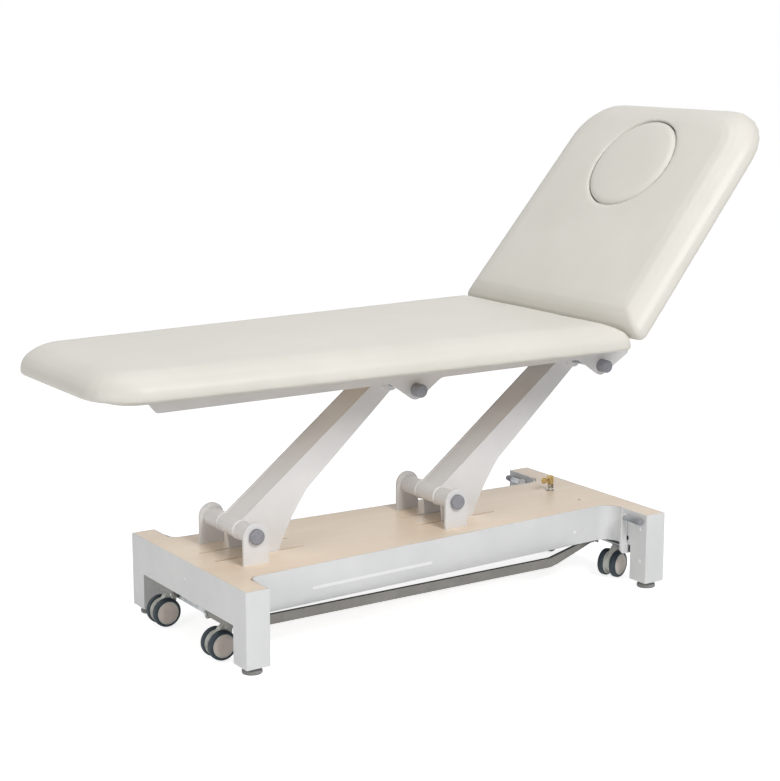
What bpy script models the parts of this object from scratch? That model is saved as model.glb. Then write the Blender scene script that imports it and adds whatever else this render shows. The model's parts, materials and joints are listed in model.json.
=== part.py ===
"""Electric examination couch: waisted base, two lifting arms, leg rest, backrest and castors.

Metres, +Z up, foot end towards -X, near side towards -Y, floor at z = 0.
"""
import math

import bmesh
import bpy
from mathutils import Matrix, Vector

# Fits
GAP = 0.0003

# Base
BASE_LENGTH = 1.248
BASE_WIDTH = 0.590
BASE_TOP = 0.203
BOARD_THICK = 0.018
SHEET = 0.003
LEG_SIDE = 0.062
LEG_BOTTOM = 0.0187
LEG_FLOOR = 0.004
SKIRT_BOTTOM = 0.110
FOOT_WAIST = 0.397
HEAD_WAIST = 0.294
FOOT_FILLET = 0.023
HEAD_FILLET = 0.042
BOARD_HOLE_INSET = 0.043
BOARD_HOLE_Y = -0.069
BOARD_HOLE_RADIUS = 0.0055
KEY_INSET = 0.045
KEY_Y = 0.053
KEY_BLOCK = 0.014
KEY_HEIGHT = 0.042
FOOT_PAD_RADIUS = 0.024
FOOT_STEM_RADIUS = 0.006

# Chassis under the board
RAIL_TUBE_IN = 0.1143
RAIL_TUBE_OUT = 0.140
RAIL_TUBE_BOTTOM = 0.140
TIE_AHEAD = 0.1853
TIE_LENGTH = 0.030
TIE_BOTTOM = 0.118
TUBE_WALL = 0.0025

# Lifting arms
PIVOT_INSET = 0.0667
PIVOT_Z = 0.2712
PIVOT_SPACING = 0.5795
ARM_LENGTH = 0.5243
ARM_ANGLE = math.radians(37.15)
PLATE_IN = 0.108
PLATE_THICK = 0.006
PLATE_WIDTH = 0.067
LOWER_SHAFT_RADIUS = 0.010
LOWER_CAP_RADIUS = 0.019
LOWER_CAP_FACE = 0.126
CHEEK_IN = 0.0375
CHEEK_THICK = 0.005
CHEEK_RIM = 0.0255
ARM_TUBE_RADIUS = 0.023
ARM_TOP_RADIUS = 0.024
ARM_TOP_TUBE = 0.060
WEB_THICK = 0.004
SLOT_BACK = 0.070
SLOT_FRONT = 0.172
SLOT_CLEAR = 0.0015

# Actuator
CRANK_RADIUS = 0.117
CRANK_LEAD = math.radians(5.0)
CRANK_PIN_RADIUS = 0.006
ACTUATOR_Z = 0.1625
MOTOR_RADIUS = 0.021
MOTOR_AHEAD = 0.0453
MOTOR_LENGTH = 0.090
TUBE_RADIUS = 0.018
TUBE_LENGTH = 0.325
ROD_RADIUS = 0.008
ROD_LENGTH = 0.230
FORK_HALF_HEIGHT = 0.021
FORK_PLAY = 0.002

# Control box
BOX_INSET = 0.102
BOX_LENGTH = 0.160
BOX_HALF_WIDTH = 0.090
BOX_HEIGHT = 0.060

# Top frame
SIDE_RAIL_OUT = 0.169
SIDE_RAIL_THICK = 0.005
RAIL_FOOT_REACH = 0.7136
RAIL_HEAD_REACH = 0.0899
SIDE_RAIL_DROP = 0.022
SIDE_RAIL_RISE = 0.056
FLANGE_WIDTH = 0.030
FLANGE_THICK = 0.004
EAR_RADIUS = 0.025
EAR_SPREAD = 0.075
EAR_FILLET = 0.030
RAIL_CORNER = 0.012
TAIL_BACK = 0.062
TAIL_SLOPE = 0.022
TAIL_DROP = 0.018
UPPER_SHAFT_RADIUS = 0.010
UPPER_CAP_RADIUS = 0.0165
UPPER_CAP_FACE = 0.197
CROSS_TUBE_WIDTH = 0.030
CROSS_TUBE_HEIGHT = 0.019
FOOT_CROSS_INSET = 0.0910
HEAD_CROSS_AHEAD = 0.1624

# Cushions
PLY_THICK = 0.015
PLY_INSET = 0.068
PLY_CORNER = 0.012
PAD_THICK = 0.0650
LEG_LENGTH = 1.405
LEG_PAST_HINGE = 0.0118
LEG_HALF_FOOT = 0.275
LEG_HALF_HINGE = 0.355
LEG_CORNER = 0.130
LEG_CROWN = 0.0035
BACK_LENGTH = 0.702
BACK_HALF_HINGE = 0.370
BACK_HALF_TOP = 0.350
BACK_CORNER = 0.140
HINGE_CORNER = 0.022
CORNER_STEPS = 6
EDGE_ROLL = 0.078
EDGE_DROP = 0.053
UNDER_ROUND = 0.006
BACK_LEAN = math.radians(50.0)
PLUG_AT = 0.4994
PLUG_RADIUS = 0.1395
PLUG_HOLE = 0.1405
PLUG_CROWN = 0.004
PLUG_ROLL = 0.012
HOLE_ROLL = 0.009

# Backrest hinge and gas spring
HINGE_BEHIND = 0.0589
HINGE_ROD_RADIUS = 0.004
HINGE_EYE = 0.0082
HINGE_CLEAR = 0.002
BACK_START = 0.0131
LUG_IN = 0.148
LUG_THICK = 0.005
LUG_WIDTH = 0.013
KNUCKLE_IN = 0.120
KNUCKLE_THICK = 0.006
KNUCKLE_LENGTH = 0.150
KNUCKLE_DEPTH = 0.020
BACK_TUBE_AT = 0.045
BACK_TUBE_WIDTH = 0.030
GAS_Y = 0.070
GAS_RADIUS = 0.011
GAS_ROD_RADIUS = 0.004
GAS_LENGTH = 0.260
GAS_ROD_LENGTH = 0.232
GAS_CRANK = 0.0704
GAS_MID = math.radians(35.0)
GAS_PIN_RADIUS = 0.004
GAS_PLAY = 0.002

# Foot switch bars
BAR_Y = 0.205
BAR_THICK = 0.010
BAR_BOTTOM = 0.0845
BAR_TOP = 0.1085
BAR_BEND_INSET = 0.248
BAR_TIP_INSET = 0.016
BAR_TIP_Y = 0.112
BAR_TIP_RUN = 0.030
BAR_CRANK_INSET = 0.011
BAR_CRANK_RADIUS = 0.014
BAR_BEND_RADIUS = 0.040
BAR_TIP_RADIUS = 0.008
BAR_PIVOT_FOOT_Y = 0.091
BAR_PIVOT_HEAD_Y = 0.091
BAR_PIVOT_Z = 0.096
BAR_EYE = 0.011
BAR_STUD_RADIUS = 0.004
HANGER_THICK = 0.0035
HANGER_FOOT_INSET = 0.0185
HANGER_HEAD_INSET = 0.0045
HANGER_HALF = 0.105
HANGER_BOTTOM = 0.086

# Castors and their lift
CASTOR_Y = 0.144
WHEEL_RADIUS = 0.036
WHEEL_Z = 0.0395
WHEEL_HALF = 0.028
FORK_HALF = 0.0085
TRAIL = 0.022
STEM_RADIUS = 0.008
AXLE_RADIUS = 0.004
HEAD_CASTOR_TURN = math.radians(18.0)
BEAM_WIDTH = 0.016
BEAM_BOTTOM = 0.115
BEAM_HEIGHT = 0.025
BEAM_NOTCH = (0.190, 0.220, 0.012)
LIFT_SHAFT_OUT = 0.0115
LIFT_SHAFT_Z = 0.0965
LIFT_SHAFT_RADIUS = 0.006
LEVER_INSET = 0.0775
LEVER_THICK = 0.005
LEVER_BACK = 0.014
LEVER_WIDTH = 0.020
LEVER_TOP = 0.194
PEG_Z = 0.185
PEG_RADIUS = 0.007
PEG_INSET = 0.014

# Derived places
BOARD_UNDER = BASE_TOP - BOARD_THICK
SHOULDER = BASE_LENGTH / 2 - LEG_SIDE
BOARD_HOLE = (SHOULDER - BOARD_HOLE_INSET, BOARD_HOLE_Y)
KEY_SPOT = (SHOULDER - KEY_INSET, KEY_Y)
FOOT_PIVOT_X = PIVOT_INSET - SHOULDER
HEAD_PIVOT_X = FOOT_PIVOT_X + PIVOT_SPACING
TIE_X = FOOT_PIVOT_X + TIE_AHEAD
MOTOR_START = FOOT_PIVOT_X + MOTOR_AHEAD
MOTOR_END = MOTOR_START + MOTOR_LENGTH
TUBE_END = MOTOR_END + TUBE_LENGTH
BOX_END = SHOULDER - BOX_INSET
BOX_START = BOX_END - BOX_LENGTH
ARM_RUN = ARM_LENGTH * math.cos(ARM_ANGLE)
ARM_RISE = ARM_LENGTH * math.sin(ARM_ANGLE)
UPPER_Z = PIVOT_Z + ARM_RISE
UPPER_FOOT_X = FOOT_PIVOT_X + ARM_RUN
UPPER_HEAD_X = HEAD_PIVOT_X + ARM_RUN
SIDE_RAIL_START = UPPER_FOOT_X - RAIL_FOOT_REACH
SIDE_RAIL_END = UPPER_HEAD_X + RAIL_HEAD_REACH
FOOT_CROSS_X = SIDE_RAIL_START + FOOT_CROSS_INSET
HEAD_CROSS_X = UPPER_FOOT_X + HEAD_CROSS_AHEAD
HINGE_X = UPPER_HEAD_X - HINGE_BEHIND
LEG_END = HINGE_X + LEG_PAST_HINGE
LEG_START = LEG_END - LEG_LENGTH
RAIL_TOP = UPPER_Z + SIDE_RAIL_RISE
RAIL_LOW = UPPER_Z + SIDE_RAIL_DROP
SIDE_RAIL_IN = SIDE_RAIL_OUT - SIDE_RAIL_THICK
LEG_PLY_LOW = RAIL_TOP + GAP
LEG_PAD_LOW = LEG_PLY_LOW + PLY_THICK + GAP
LEG_PAD_TOP = LEG_PAD_LOW + PAD_THICK
PAD_BACK = -0.0245
PAD_FRONT = PAD_BACK + PAD_THICK
HINGE_Z = LEG_PAD_LOW - PAD_BACK
PLATE_OUT = PLATE_IN + PLATE_THICK
CHEEK_OUT = CHEEK_IN + CHEEK_THICK
BACK_END = BACK_START + BACK_LENGTH
BACK_REACH = (HINGE_X + (BACK_END - UNDER_ROUND) * math.cos(BACK_LEAN)
              - (PAD_BACK + UNDER_ROUND) * math.sin(BACK_LEAN) + UNDER_ROUND)
ORIGIN_SHIFT = -(LEG_START + BACK_REACH) / 2
BAR_BEND_X = SHOULDER - BAR_BEND_INSET
BAR_TIP_X = SHOULDER - BAR_TIP_INSET
BAR_CRANK_X = BAR_CRANK_INSET - BASE_LENGTH / 2
HANGER_FOOT_X = HANGER_FOOT_INSET - BASE_LENGTH / 2
HANGER_HEAD_X = SHOULDER - HANGER_HEAD_INSET
CASTOR_X = (BASE_LENGTH - LEG_SIDE) / 2
LIFT_SHAFT_X = SHOULDER + LIFT_SHAFT_OUT
LEVER_X = SHOULDER - LEVER_BACK
LEVER_Y = BASE_WIDTH / 2 - LEVER_INSET
PEG_END = BASE_WIDTH / 2 - PEG_INSET


def colour(code):
    """Linear colour from an sRGB hex code."""
    values = [int(code[i:i + 2], 16) / 255 for i in (1, 3, 5)]
    return [v / 12.92 if v <= 0.04045 else ((v + 0.055) / 1.055) ** 2.4 for v in values] + [1.0]


def material(name, code, roughness, metallic=0.0):
    made = bpy.data.materials.new(name)
    made.use_nodes = True
    shader = made.node_tree.nodes["Principled BSDF"]
    shader.inputs["Base Color"].default_value = colour(code)
    shader.inputs["Roughness"].default_value = roughness
    shader.inputs["Metallic"].default_value = metallic
    made.diffuse_color = colour(code)
    return made


def circle(centre, radius, sides, start=0.0, sweep=2 * math.pi):
    """Points on a circle; a part sweep includes both of its ends."""
    count = sides if abs(sweep) > 6.28 else sides + 1
    return [
        (centre[0] + radius * math.cos(start + sweep * i / sides),
         centre[1] + radius * math.sin(start + sweep * i / sides))
        for i in range(count)
    ]


def corner(before, at, after, radius, steps):
    """Arc that rounds one corner of a path."""
    at = Vector(at)
    back = (Vector(before) - at).normalized()
    ahead = (Vector(after) - at).normalized()
    angle = back.angle(ahead)
    middle = at + (back + ahead).normalized() * radius / math.sin(angle / 2)
    first = at + back * radius / math.tan(angle / 2) - middle
    turn = math.copysign(math.pi - angle, back.x * ahead.y - back.y * ahead.x) * -1
    points = []
    for i in range(steps + 1):
        spin = turn * i / steps
        points.append((
            middle.x + first.x * math.cos(spin) - first.y * math.sin(spin),
            middle.y + first.x * math.sin(spin) + first.y * math.cos(spin),
        ))
    return points


def rounded(points, radii, steps=6, closed=True):
    """Path through points with its corners rounded; a radius of zero keeps a corner sharp."""
    path = []
    count = len(points)
    for i in range(count):
        if radii[i] and (closed or 0 < i < count - 1):
            path += corner(points[i - 1], points[i], points[(i + 1) % count], radii[i], steps)
        else:
            path.append(points[i])
    return path


def normals(path, closed):
    """Left-hand mitre vector at each point of a path."""
    found = []
    count = len(path)
    for i in range(count):
        here = Vector(path[i])
        before = here - Vector(path[i - 1]) if closed or i else None
        after = Vector(path[(i + 1) % count]) - here if closed or i < count - 1 else None
        sides = [Vector((-d.y, d.x)).normalized() for d in (before, after) if d is not None]
        mean = sum(sides, Vector((0, 0))).normalized()
        found.append(mean / max(0.3, mean.dot(sides[0])))
    return found


def shifted(path, distance, closed=True):
    """Path moved to its left by a distance."""
    return [
        (p[0] + n.x * distance, p[1] + n.y * distance)
        for p, n in zip(path, normals(path, closed))
    ]


def ribbon(path, thickness):
    """Closed outline of a strip that lies to the left of an open path."""
    return list(path) + shifted(path, thickness, closed=False)[::-1]


def mirrored(outline):
    """Outline with its second coordinate reversed, still in the same turning sense."""
    return [(a, -b) for a, b in outline][::-1]


def along(axis, a, b, c):
    """Point with c along the axis and (a, b) in the plane across it."""
    return {"x": (c, a, b), "y": (a, c, b), "z": (a, b, c)}[axis]


def plate(outline, low, high, axis, holes=()):
    """Straight prism of an outline, with through holes."""
    shape = bmesh.new()
    edges = []
    for loop in (outline, *holes):
        ring = [shape.verts.new(along(axis, a, b, low)) for a, b in loop]
        edges += [shape.edges.new((ring[i - 1], ring[i])) for i in range(len(ring))]
    if holes:
        bmesh.ops.triangle_fill(shape, use_beauty=True, edges=edges)
    else:
        shape.faces.new(list(shape.verts))
    grown = bmesh.ops.extrude_face_region(shape, geom=list(shape.faces))
    moved = [g for g in grown["geom"] if isinstance(g, bmesh.types.BMVert)]
    bmesh.ops.translate(shape, verts=moved, vec=along(axis, 0, 0, high - low))
    bmesh.ops.recalc_face_normals(shape, faces=shape.faces)
    return shape


def block(x, y, z):
    """Box between pairs of limits."""
    return plate([(x[0], y[0]), (x[1], y[0]), (x[1], y[1]), (x[0], y[1])], z[0], z[1], "z")


def rod(centre, radius, low, high, axis, sides=24):
    return plate(circle(centre, radius, sides), low, high, axis)


def lathe(profile, axis, centre=(0.0, 0.0), sides=24, closed=False):
    """Solid turned from (radius, height) points; a closed profile leaves a bore."""
    shape = bmesh.new()
    rings = []
    for radius, height in profile:
        if radius < 1e-6:
            rings.append([shape.verts.new(along(axis, *centre, height))])
        else:
            rings.append([shape.verts.new(along(axis, a, b, height)) for a, b in circle(centre, radius, sides)])
    pairs = list(zip(rings, rings[1:]))
    if closed:
        pairs.append((rings[-1], rings[0]))
    for one, two in pairs:
        for i in range(sides):
            j = (i + 1) % sides
            around = [one[i % len(one)], one[j % len(one)], two[j % len(two)], two[i % len(two)]]
            shape.faces.new(list(dict.fromkeys(around)))
    bmesh.ops.recalc_face_normals(shape, faces=shape.faces)
    return shape


def as_object(shape, name):
    mesh = bpy.data.meshes.new(name)
    shape.to_mesh(mesh)
    shape.free()
    made = bpy.data.objects.new(name, mesh)
    bpy.context.scene.collection.objects.link(made)
    return made


def combine(base, tools, operation):
    """Exact boolean of a shape with several tools, returned as one shape."""
    host = as_object(base, "host")
    cutters = []
    for tool in tools:
        cutter = as_object(tool, "cutter")
        cutter.hide_render = True
        cutter.display_type = "WIRE"
        step = host.modifiers.new("step", "BOOLEAN")
        step.operation = operation
        step.object = cutter
        step.solver = "EXACT"
        cutters.append(cutter)
    bpy.context.view_layer.update()
    graph = bpy.context.evaluated_depsgraph_get()
    mesh = bpy.data.meshes.new_from_object(host.evaluated_get(graph))
    result = bmesh.new()
    result.from_mesh(mesh)
    bpy.data.meshes.remove(mesh)
    for used in (host, *cutters):
        data = used.data
        bpy.data.objects.remove(used)
        bpy.data.meshes.remove(data)
    bmesh.ops.remove_doubles(result, verts=result.verts, dist=1e-6)
    bmesh.ops.dissolve_degenerate(result, dist=1e-6, edges=result.edges)
    return result


def weld(base, *tools):
    return combine(base, tools, "UNION")


def cut(base, *tools):
    return combine(base, tools, "DIFFERENCE")


def add(name, shape, paint, origin=(0.0, 0.0, 0.0), turn=(0.0, 0.0, 0.0), local=False):
    """Named object with its origin on its joint; local shapes are already drawn about that origin."""
    if not local:
        bmesh.ops.translate(shape, verts=shape.verts, vec=-Vector(origin))
    made = as_object(shape, name)
    made.data.materials.append(paint)
    made.data.shade_smooth()
    made.data.set_sharp_from_angle(angle=math.radians(32))
    made.parent = couch
    made.location = origin
    made.rotation_euler = turn
    return made


def pad_ring(corners, radii, parts, inset):
    """Cushion outline drawn in by an inset, with the same number of points whatever the inset."""
    left = [max(radius - inset, radius * 0.3) for radius in radii]
    path = rounded(shifted(corners, inset), left, CORNER_STEPS)
    step = CORNER_STEPS + 1
    ring = []
    for i, count in enumerate(parts):
        ring += path[i * step:(i + 1) * step]
        here = Vector(ring[-1])
        there = Vector(path[(i + 1) * step % len(path)])
        ring += [tuple(here.lerp(there, k / count)) for k in range(1, count)]
    return ring


def cushion(corners, radii, longest, low, high, crown, heart):
    """Padded form: flat underside with a tight lower edge, a broad roll up to the top, and a crowned top."""
    count = len(corners)
    runs = [math.dist(corners[i], corners[(i + 1) % count]) for i in range(count)]
    parts = [max(1, math.ceil(run / longest)) for run in runs]
    rings = []
    for i in range(3):
        t = math.pi / 2 * i / 2
        rings.append((UNDER_ROUND * (1 - math.sin(t)), low + UNDER_ROUND * (1 - math.cos(t))))
    for i in range(6):
        t = math.pi / 2 * i / 5
        rings.append((EDGE_ROLL * (1 - math.cos(t)), high - EDGE_DROP * (1 - math.sin(t))))
    shape = bmesh.new()
    loops = []
    for inset, height in rings:
        loops.append([shape.verts.new((*p, height)) for p in pad_ring(corners, radii, parts, inset)])
    edge = pad_ring(corners, radii, parts, EDGE_ROLL)
    for share in (0.2, 0.45, 0.75):
        ring = []
        for p in edge:
            core = Vector((min(max(p[0], heart[0]), heart[1]), 0.0))
            inner = Vector(p).lerp(core, share)
            ring.append(shape.verts.new((*inner, high + crown * (1 - (1 - share) ** 2))))
        loops.append(ring)
    points = len(edge)
    for one, two in zip(loops, loops[1:]):
        for i in range(points):
            j = (i + 1) % points
            shape.faces.new((one[i], one[j], two[j], two[i]))
    shape.faces.new(loops[0][::-1])
    shape.faces.new(loops[-1])
    bmesh.ops.triangulate(shape, faces=[f for f in shape.faces if len(f.verts) > 4])
    bmesh.ops.recalc_face_normals(shape, faces=shape.faces)
    return shape


for old in list(bpy.data.objects):
    bpy.data.objects.remove(old)

couch = bpy.data.objects.new("couch", None)
bpy.context.scene.collection.objects.link(couch)
couch.location = (ORIGIN_SHIFT, 0.0, 0.0)

base_paint = material("base_paint", "#D3D4D5", 0.45)
arm_paint = material("arm_paint", "#E1E0E0", 0.40)
birch = material("birch", "#EBD9C4", 0.55)
vinyl = material("vinyl", "#DDDAD2", 0.50)
cap_plastic = material("cap_plastic", "#8E8F96", 0.50)
steel = material("steel", "#B9BBBD", 0.30, 1.0)
chrome = material("chrome", "#D8DADC", 0.12, 1.0)
dark_plastic = material("dark_plastic", "#3A3C3F", 0.50)
bar_paint = material("bar_paint", "#7A7873", 0.50)
tyre_rubber = material("tyre_rubber", "#2F3A42", 0.70)
castor_plastic = material("castor_plastic", "#A89C92", 0.50)
foot_rubber = material("foot_rubber", "#7D7D7B", 0.70)
brass = material("brass", "#B08D4C", 0.30, 1.0)


# Base: board, end panels, aprons
def waist_plan(inset):
    """Base plan, anticlockwise, drawn in by an inset."""
    end = BASE_LENGTH / 2 - inset
    half = BASE_WIDTH / 2 - inset
    step = SHOULDER + inset
    foot = FOOT_WAIST / 2 - inset
    head = HEAD_WAIST / 2 - inset
    near = [(-end, -half), (-step, -half), (-step, -foot), (step, -head), (step, -half), (end, -half)]
    radii = [0, 0, FOOT_FILLET + inset, HEAD_FILLET + inset, 0, 0]
    return rounded(near + mirrored(near), radii + radii[::-1])


def pair(low, high):
    """Limits on the near side and on the far side."""
    return (-high, -low), (low, high)


def oblong(x, y):
    return [(x[0], y[0]), (x[1], y[0]), (x[1], y[1]), (x[0], y[1])]


def box_tube(a, b, low, high, axis):
    """Square tube with open ends."""
    wall = TUBE_WALL
    bore = oblong((a[0] + wall, a[1] - wall), (b[0] + wall, b[1] - wall))
    return plate(oblong(a, b), low, high, axis, [bore])


openings = []
for pivot in (FOOT_PIVOT_X, HEAD_PIVOT_X):
    for y in pair(CHEEK_IN - SLOT_CLEAR, CHEEK_OUT + SLOT_CLEAR):
        openings.append(oblong((pivot - SLOT_BACK, pivot + SLOT_FRONT), y))
    half_plate = PLATE_WIDTH / 2 + GAP
    for y in pair(PLATE_IN - GAP, PLATE_OUT + GAP):
        openings.append(oblong((pivot - half_plate, pivot + half_plate), y))
openings.append(circle(BOARD_HOLE, BOARD_HOLE_RADIUS, 16))
add("base_board", plate(waist_plan(SHEET + GAP), BOARD_UNDER, BASE_TOP, "z", openings), birch)


def end_panel(name, side, waist, fillet):
    """Folded sheet panel with two closed legs; side is -1 at the foot end and 1 at the head end."""
    outer = BASE_LENGTH / 2
    half = BASE_WIDTH / 2
    inner_leg = half - LEG_SIDE
    above = BASE_TOP + 0.01
    hollow = (SHOULDER + SHEET, outer - SHEET)
    tools = [
        (SHOULDER - 0.01, outer + 0.01, (-inner_leg, inner_leg), (0.0, SKIRT_BOTTOM)),
        (*hollow, (-inner_leg, inner_leg), (SKIRT_BOTTOM - 0.01, above)),
        (*hollow, (-half + SHEET, half - SHEET), (BOARD_UNDER - GAP, above)),
    ]
    for y in pair(inner_leg + SHEET, half - SHEET):
        tools.append((*hollow, y, (LEG_BOTTOM + LEG_FLOOR, above)))
    window = waist / 2 + fillet + SHEET
    tools.append((SHOULDER - 0.01, SHOULDER + 2 * SHEET, (-window, window), (BOARD_UNDER - GAP, above)))
    cutters = [block(sorted((side * a, side * b)), y, z) for a, b, y, z in tools]
    middle = (SHOULDER + outer) / 2 * side
    for y in (-half + LEG_SIDE / 2, half - LEG_SIDE / 2):
        hole = rod((middle, y), FOOT_STEM_RADIUS + GAP, LEG_BOTTOM - 0.01, LEG_BOTTOM + 0.01, "z", 16)
        cutters.append(hole)
    body = block(sorted((side * SHOULDER, side * outer)), (-half, half), (LEG_BOTTOM, BASE_TOP))
    add(name, cut(body, *cutters), base_paint)


end_panel("foot_end_panel", -1, FOOT_WAIST, FOOT_FILLET)
end_panel("head_end_panel", 1, HEAD_WAIST, HEAD_FILLET)

face = SHOULDER - SHEET - GAP
turn_in = 0.012
apron_path = rounded(
    [(-face, -FOOT_WAIST / 2 - FOOT_FILLET - turn_in), (-face, -FOOT_WAIST / 2),
     (face, -HEAD_WAIST / 2), (face, -HEAD_WAIST / 2 - HEAD_FILLET - turn_in)],
    [0, FOOT_FILLET, HEAD_FILLET, 0], 8, closed=False)
apron = ribbon(apron_path, SHEET)
add("near_apron", plate(apron, SKIRT_BOTTOM, BASE_TOP, "z"), base_paint)
add("far_apron", plate(mirrored(apron), SKIRT_BOTTOM, BASE_TOP, "z"), base_paint)

foot_x = BASE_LENGTH / 2 - LEG_SIDE / 2
foot_y = BASE_WIDTH / 2 - LEG_SIDE / 2
foot_profile = [
    (0.0, 0.0), (FOOT_PAD_RADIUS - 0.002, 0.0), (FOOT_PAD_RADIUS, 0.002), (FOOT_PAD_RADIUS, 0.008),
    (FOOT_PAD_RADIUS - 0.003, 0.011), (0.012, 0.013), (0.011, LEG_BOTTOM - GAP),
    (FOOT_STEM_RADIUS, LEG_BOTTOM - GAP), (FOOT_STEM_RADIUS, LEG_BOTTOM + 0.022), (0.0, LEG_BOTTOM + 0.022),
]
for end, x in (("foot", -foot_x), ("head", foot_x)):
    for side, y in (("near", -foot_y), ("far", foot_y)):
        add(f"{side}_{end}_levelling_foot", lathe(foot_profile, "z", (x, y), 18), foot_rubber)

# Chassis: rails, pivot plates, tie
rail_end = SHOULDER - GAP
for side, y in zip(("near", "far"), pair(RAIL_TUBE_IN, RAIL_TUBE_OUT)):
    tube = box_tube(y, (RAIL_TUBE_BOTTOM, BOARD_UNDER - GAP), -rail_end, rail_end, "x")
    add(f"{side}_chassis_rail", tube, steel)

tie_half = RAIL_TUBE_IN - GAP
seat = ACTUATOR_Z - TUBE_RADIUS - GAP
tie_outline = [
    (-tie_half, TIE_BOTTOM), (tie_half, TIE_BOTTOM), (tie_half, ACTUATOR_Z + 0.015),
    (tie_half - 0.02, ACTUATOR_Z + 0.015), (tie_half - 0.05, seat), (-tie_half + 0.05, seat),
    (-tie_half + 0.02, ACTUATOR_Z + 0.015), (-tie_half, ACTUATOR_Z + 0.015),
]
add("actuator_tie", plate(tie_outline, TIE_X - TIE_LENGTH / 2, TIE_X + TIE_LENGTH / 2, "x"), steel)

for end, x in (("foot", FOOT_PIVOT_X), ("head", HEAD_PIVOT_X)):
    half = PLATE_WIDTH / 2
    outline = [(x - half, RAIL_TUBE_BOTTOM), (x + half, RAIL_TUBE_BOTTOM)]
    outline += circle((x, PIVOT_Z), half, 14, 0.0, math.pi)
    bore = circle((x, PIVOT_Z), LOWER_SHAFT_RADIUS + GAP, 20)
    for side, y in zip(("near", "far"), pair(PLATE_IN, PLATE_OUT)):
        add(f"{side}_{end}_pivot_plate", plate(outline, *y, "y", [bore]), base_paint)
    cap = LOWER_CAP_RADIUS
    start = PLATE_OUT + GAP
    half_shaft = [
        (LOWER_SHAFT_RADIUS, start), (cap, start), (cap, LOWER_CAP_FACE - 0.003),
        (cap - 0.003, LOWER_CAP_FACE), (0.0, LOWER_CAP_FACE),
    ]
    shaft = [(r, -h) for r, h in half_shaft][::-1] + half_shaft
    add(f"{end}_lower_shaft", lathe(shaft, "y", (x, PIVOT_Z), 20), cap_plastic, (x, 0.0, PIVOT_Z))


# Lifting arms
def arm_point(length, depth):
    """Point of the arm in x and z from its lower pivot; depth is towards its back."""
    c, s = math.cos(ARM_ANGLE), math.sin(ARM_ANGLE)
    return length * c + depth * s, length * s - depth * c


def bend(a, b, c, steps):
    """Quadratic curve from a to c with b as its control point."""
    points = []
    for i in range(steps + 1):
        t = i / steps
        points.append(tuple((1 - t) ** 2 * a[k] + 2 * t * (1 - t) * b[k] + t * t * c[k] for k in (0, 1)))
    return points


pin = (CRANK_RADIUS * math.sin(CRANK_LEAD), -CRANK_RADIUS * math.cos(CRANK_LEAD))


def cheek(driven):
    """Outline of an arm cheek about the lower pivot, anticlockwise from its front edge."""
    top = arm_point(ARM_LENGTH, 0.0)
    outline = circle((0, 0), CHEEK_RIM, 14, math.radians(81), math.radians(195))
    if driven:
        outline += [(0.006, -0.060), (0.006, -0.096)]
        outline += circle(pin, 0.0145, 8, math.radians(160), math.radians(110))
        outline += circle((0.082, -0.121), 0.0105, 4, math.radians(-90), math.radians(80))
    else:
        outline += [(0.012, -0.070)]
        outline += circle((0.044, -0.098), 0.013, 4, math.radians(190), math.radians(80))
        outline += circle((0.084, -0.101), 0.010, 4, math.radians(-90), math.radians(80))
    outline += bend(arm_point(0.027, 0.1255), arm_point(0.078, 0.085), arm_point(0.191, 0.051), 6)
    start = -math.pi / 2 + ARM_ANGLE
    outline += circle(top, ARM_TOP_RADIUS, 12, start, math.pi)
    return outline


def arm(name, x, driven):
    outline = [(x + a, PIVOT_Z + b) for a, b in cheek(driven)]
    near, far = pair(CHEEK_IN, CHEEK_OUT)
    front = [arm_point(0.0, -0.016), arm_point(ARM_LENGTH - 0.004, -ARM_TOP_RADIUS + 0.0015)]
    back = [arm_point(ARM_LENGTH - 0.004, WEB_THICK - ARM_TOP_RADIUS + 0.0015), arm_point(0.0, WEB_THICK - 0.016)]
    web = [(x + a, PIVOT_Z + b) for a, b in front + back]
    top = (x + ARM_RUN, PIVOT_Z + ARM_RISE)
    inside = CHEEK_IN + 0.001
    bits = [
        plate(outline, *far, "y"),
        plate(web, -inside, inside, "y"),
        rod((x, PIVOT_Z), ARM_TUBE_RADIUS, GAP - PLATE_IN, PLATE_IN - GAP, "y", 20),
        rod(top, ARM_TOP_RADIUS - 0.003, -ARM_TOP_TUBE, ARM_TOP_TUBE, "y", 20),
    ]
    if driven:
        bits.append(rod((x + pin[0], PIVOT_Z + pin[1]), CRANK_PIN_RADIUS, -inside, inside, "y", 16))
    shape = weld(plate(outline, *near, "y"), *bits)
    lower = rod((x, PIVOT_Z), LOWER_SHAFT_RADIUS + GAP, -PLATE_OUT, PLATE_OUT, "y", 20)
    upper = rod(top, UPPER_SHAFT_RADIUS + GAP, -PLATE_OUT, PLATE_OUT, "y", 20)
    add(name, cut(shape, lower, upper), arm_paint, (x, 0.0, PIVOT_Z))


arm("foot_arm", FOOT_PIVOT_X, False)
arm("head_arm", HEAD_PIVOT_X, True)

# Actuator and control box
at = (0.0, ACTUATOR_Z)
bore = ROD_RADIUS + GAP
inner_end = MOTOR_END + 0.006
actuator_profile = [
    (0.0, MOTOR_START), (MOTOR_RADIUS - 0.003, MOTOR_START), (MOTOR_RADIUS, MOTOR_START + 0.003),
    (MOTOR_RADIUS, MOTOR_END - 0.003), (TUBE_RADIUS, MOTOR_END), (TUBE_RADIUS, TUBE_END - 0.002),
    (TUBE_RADIUS - 0.002, TUBE_END), (bore, TUBE_END), (bore, inner_end), (0.0, inner_end),
]
add("actuator", lathe(actuator_profile, "x", at, 20), dark_plastic)

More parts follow.
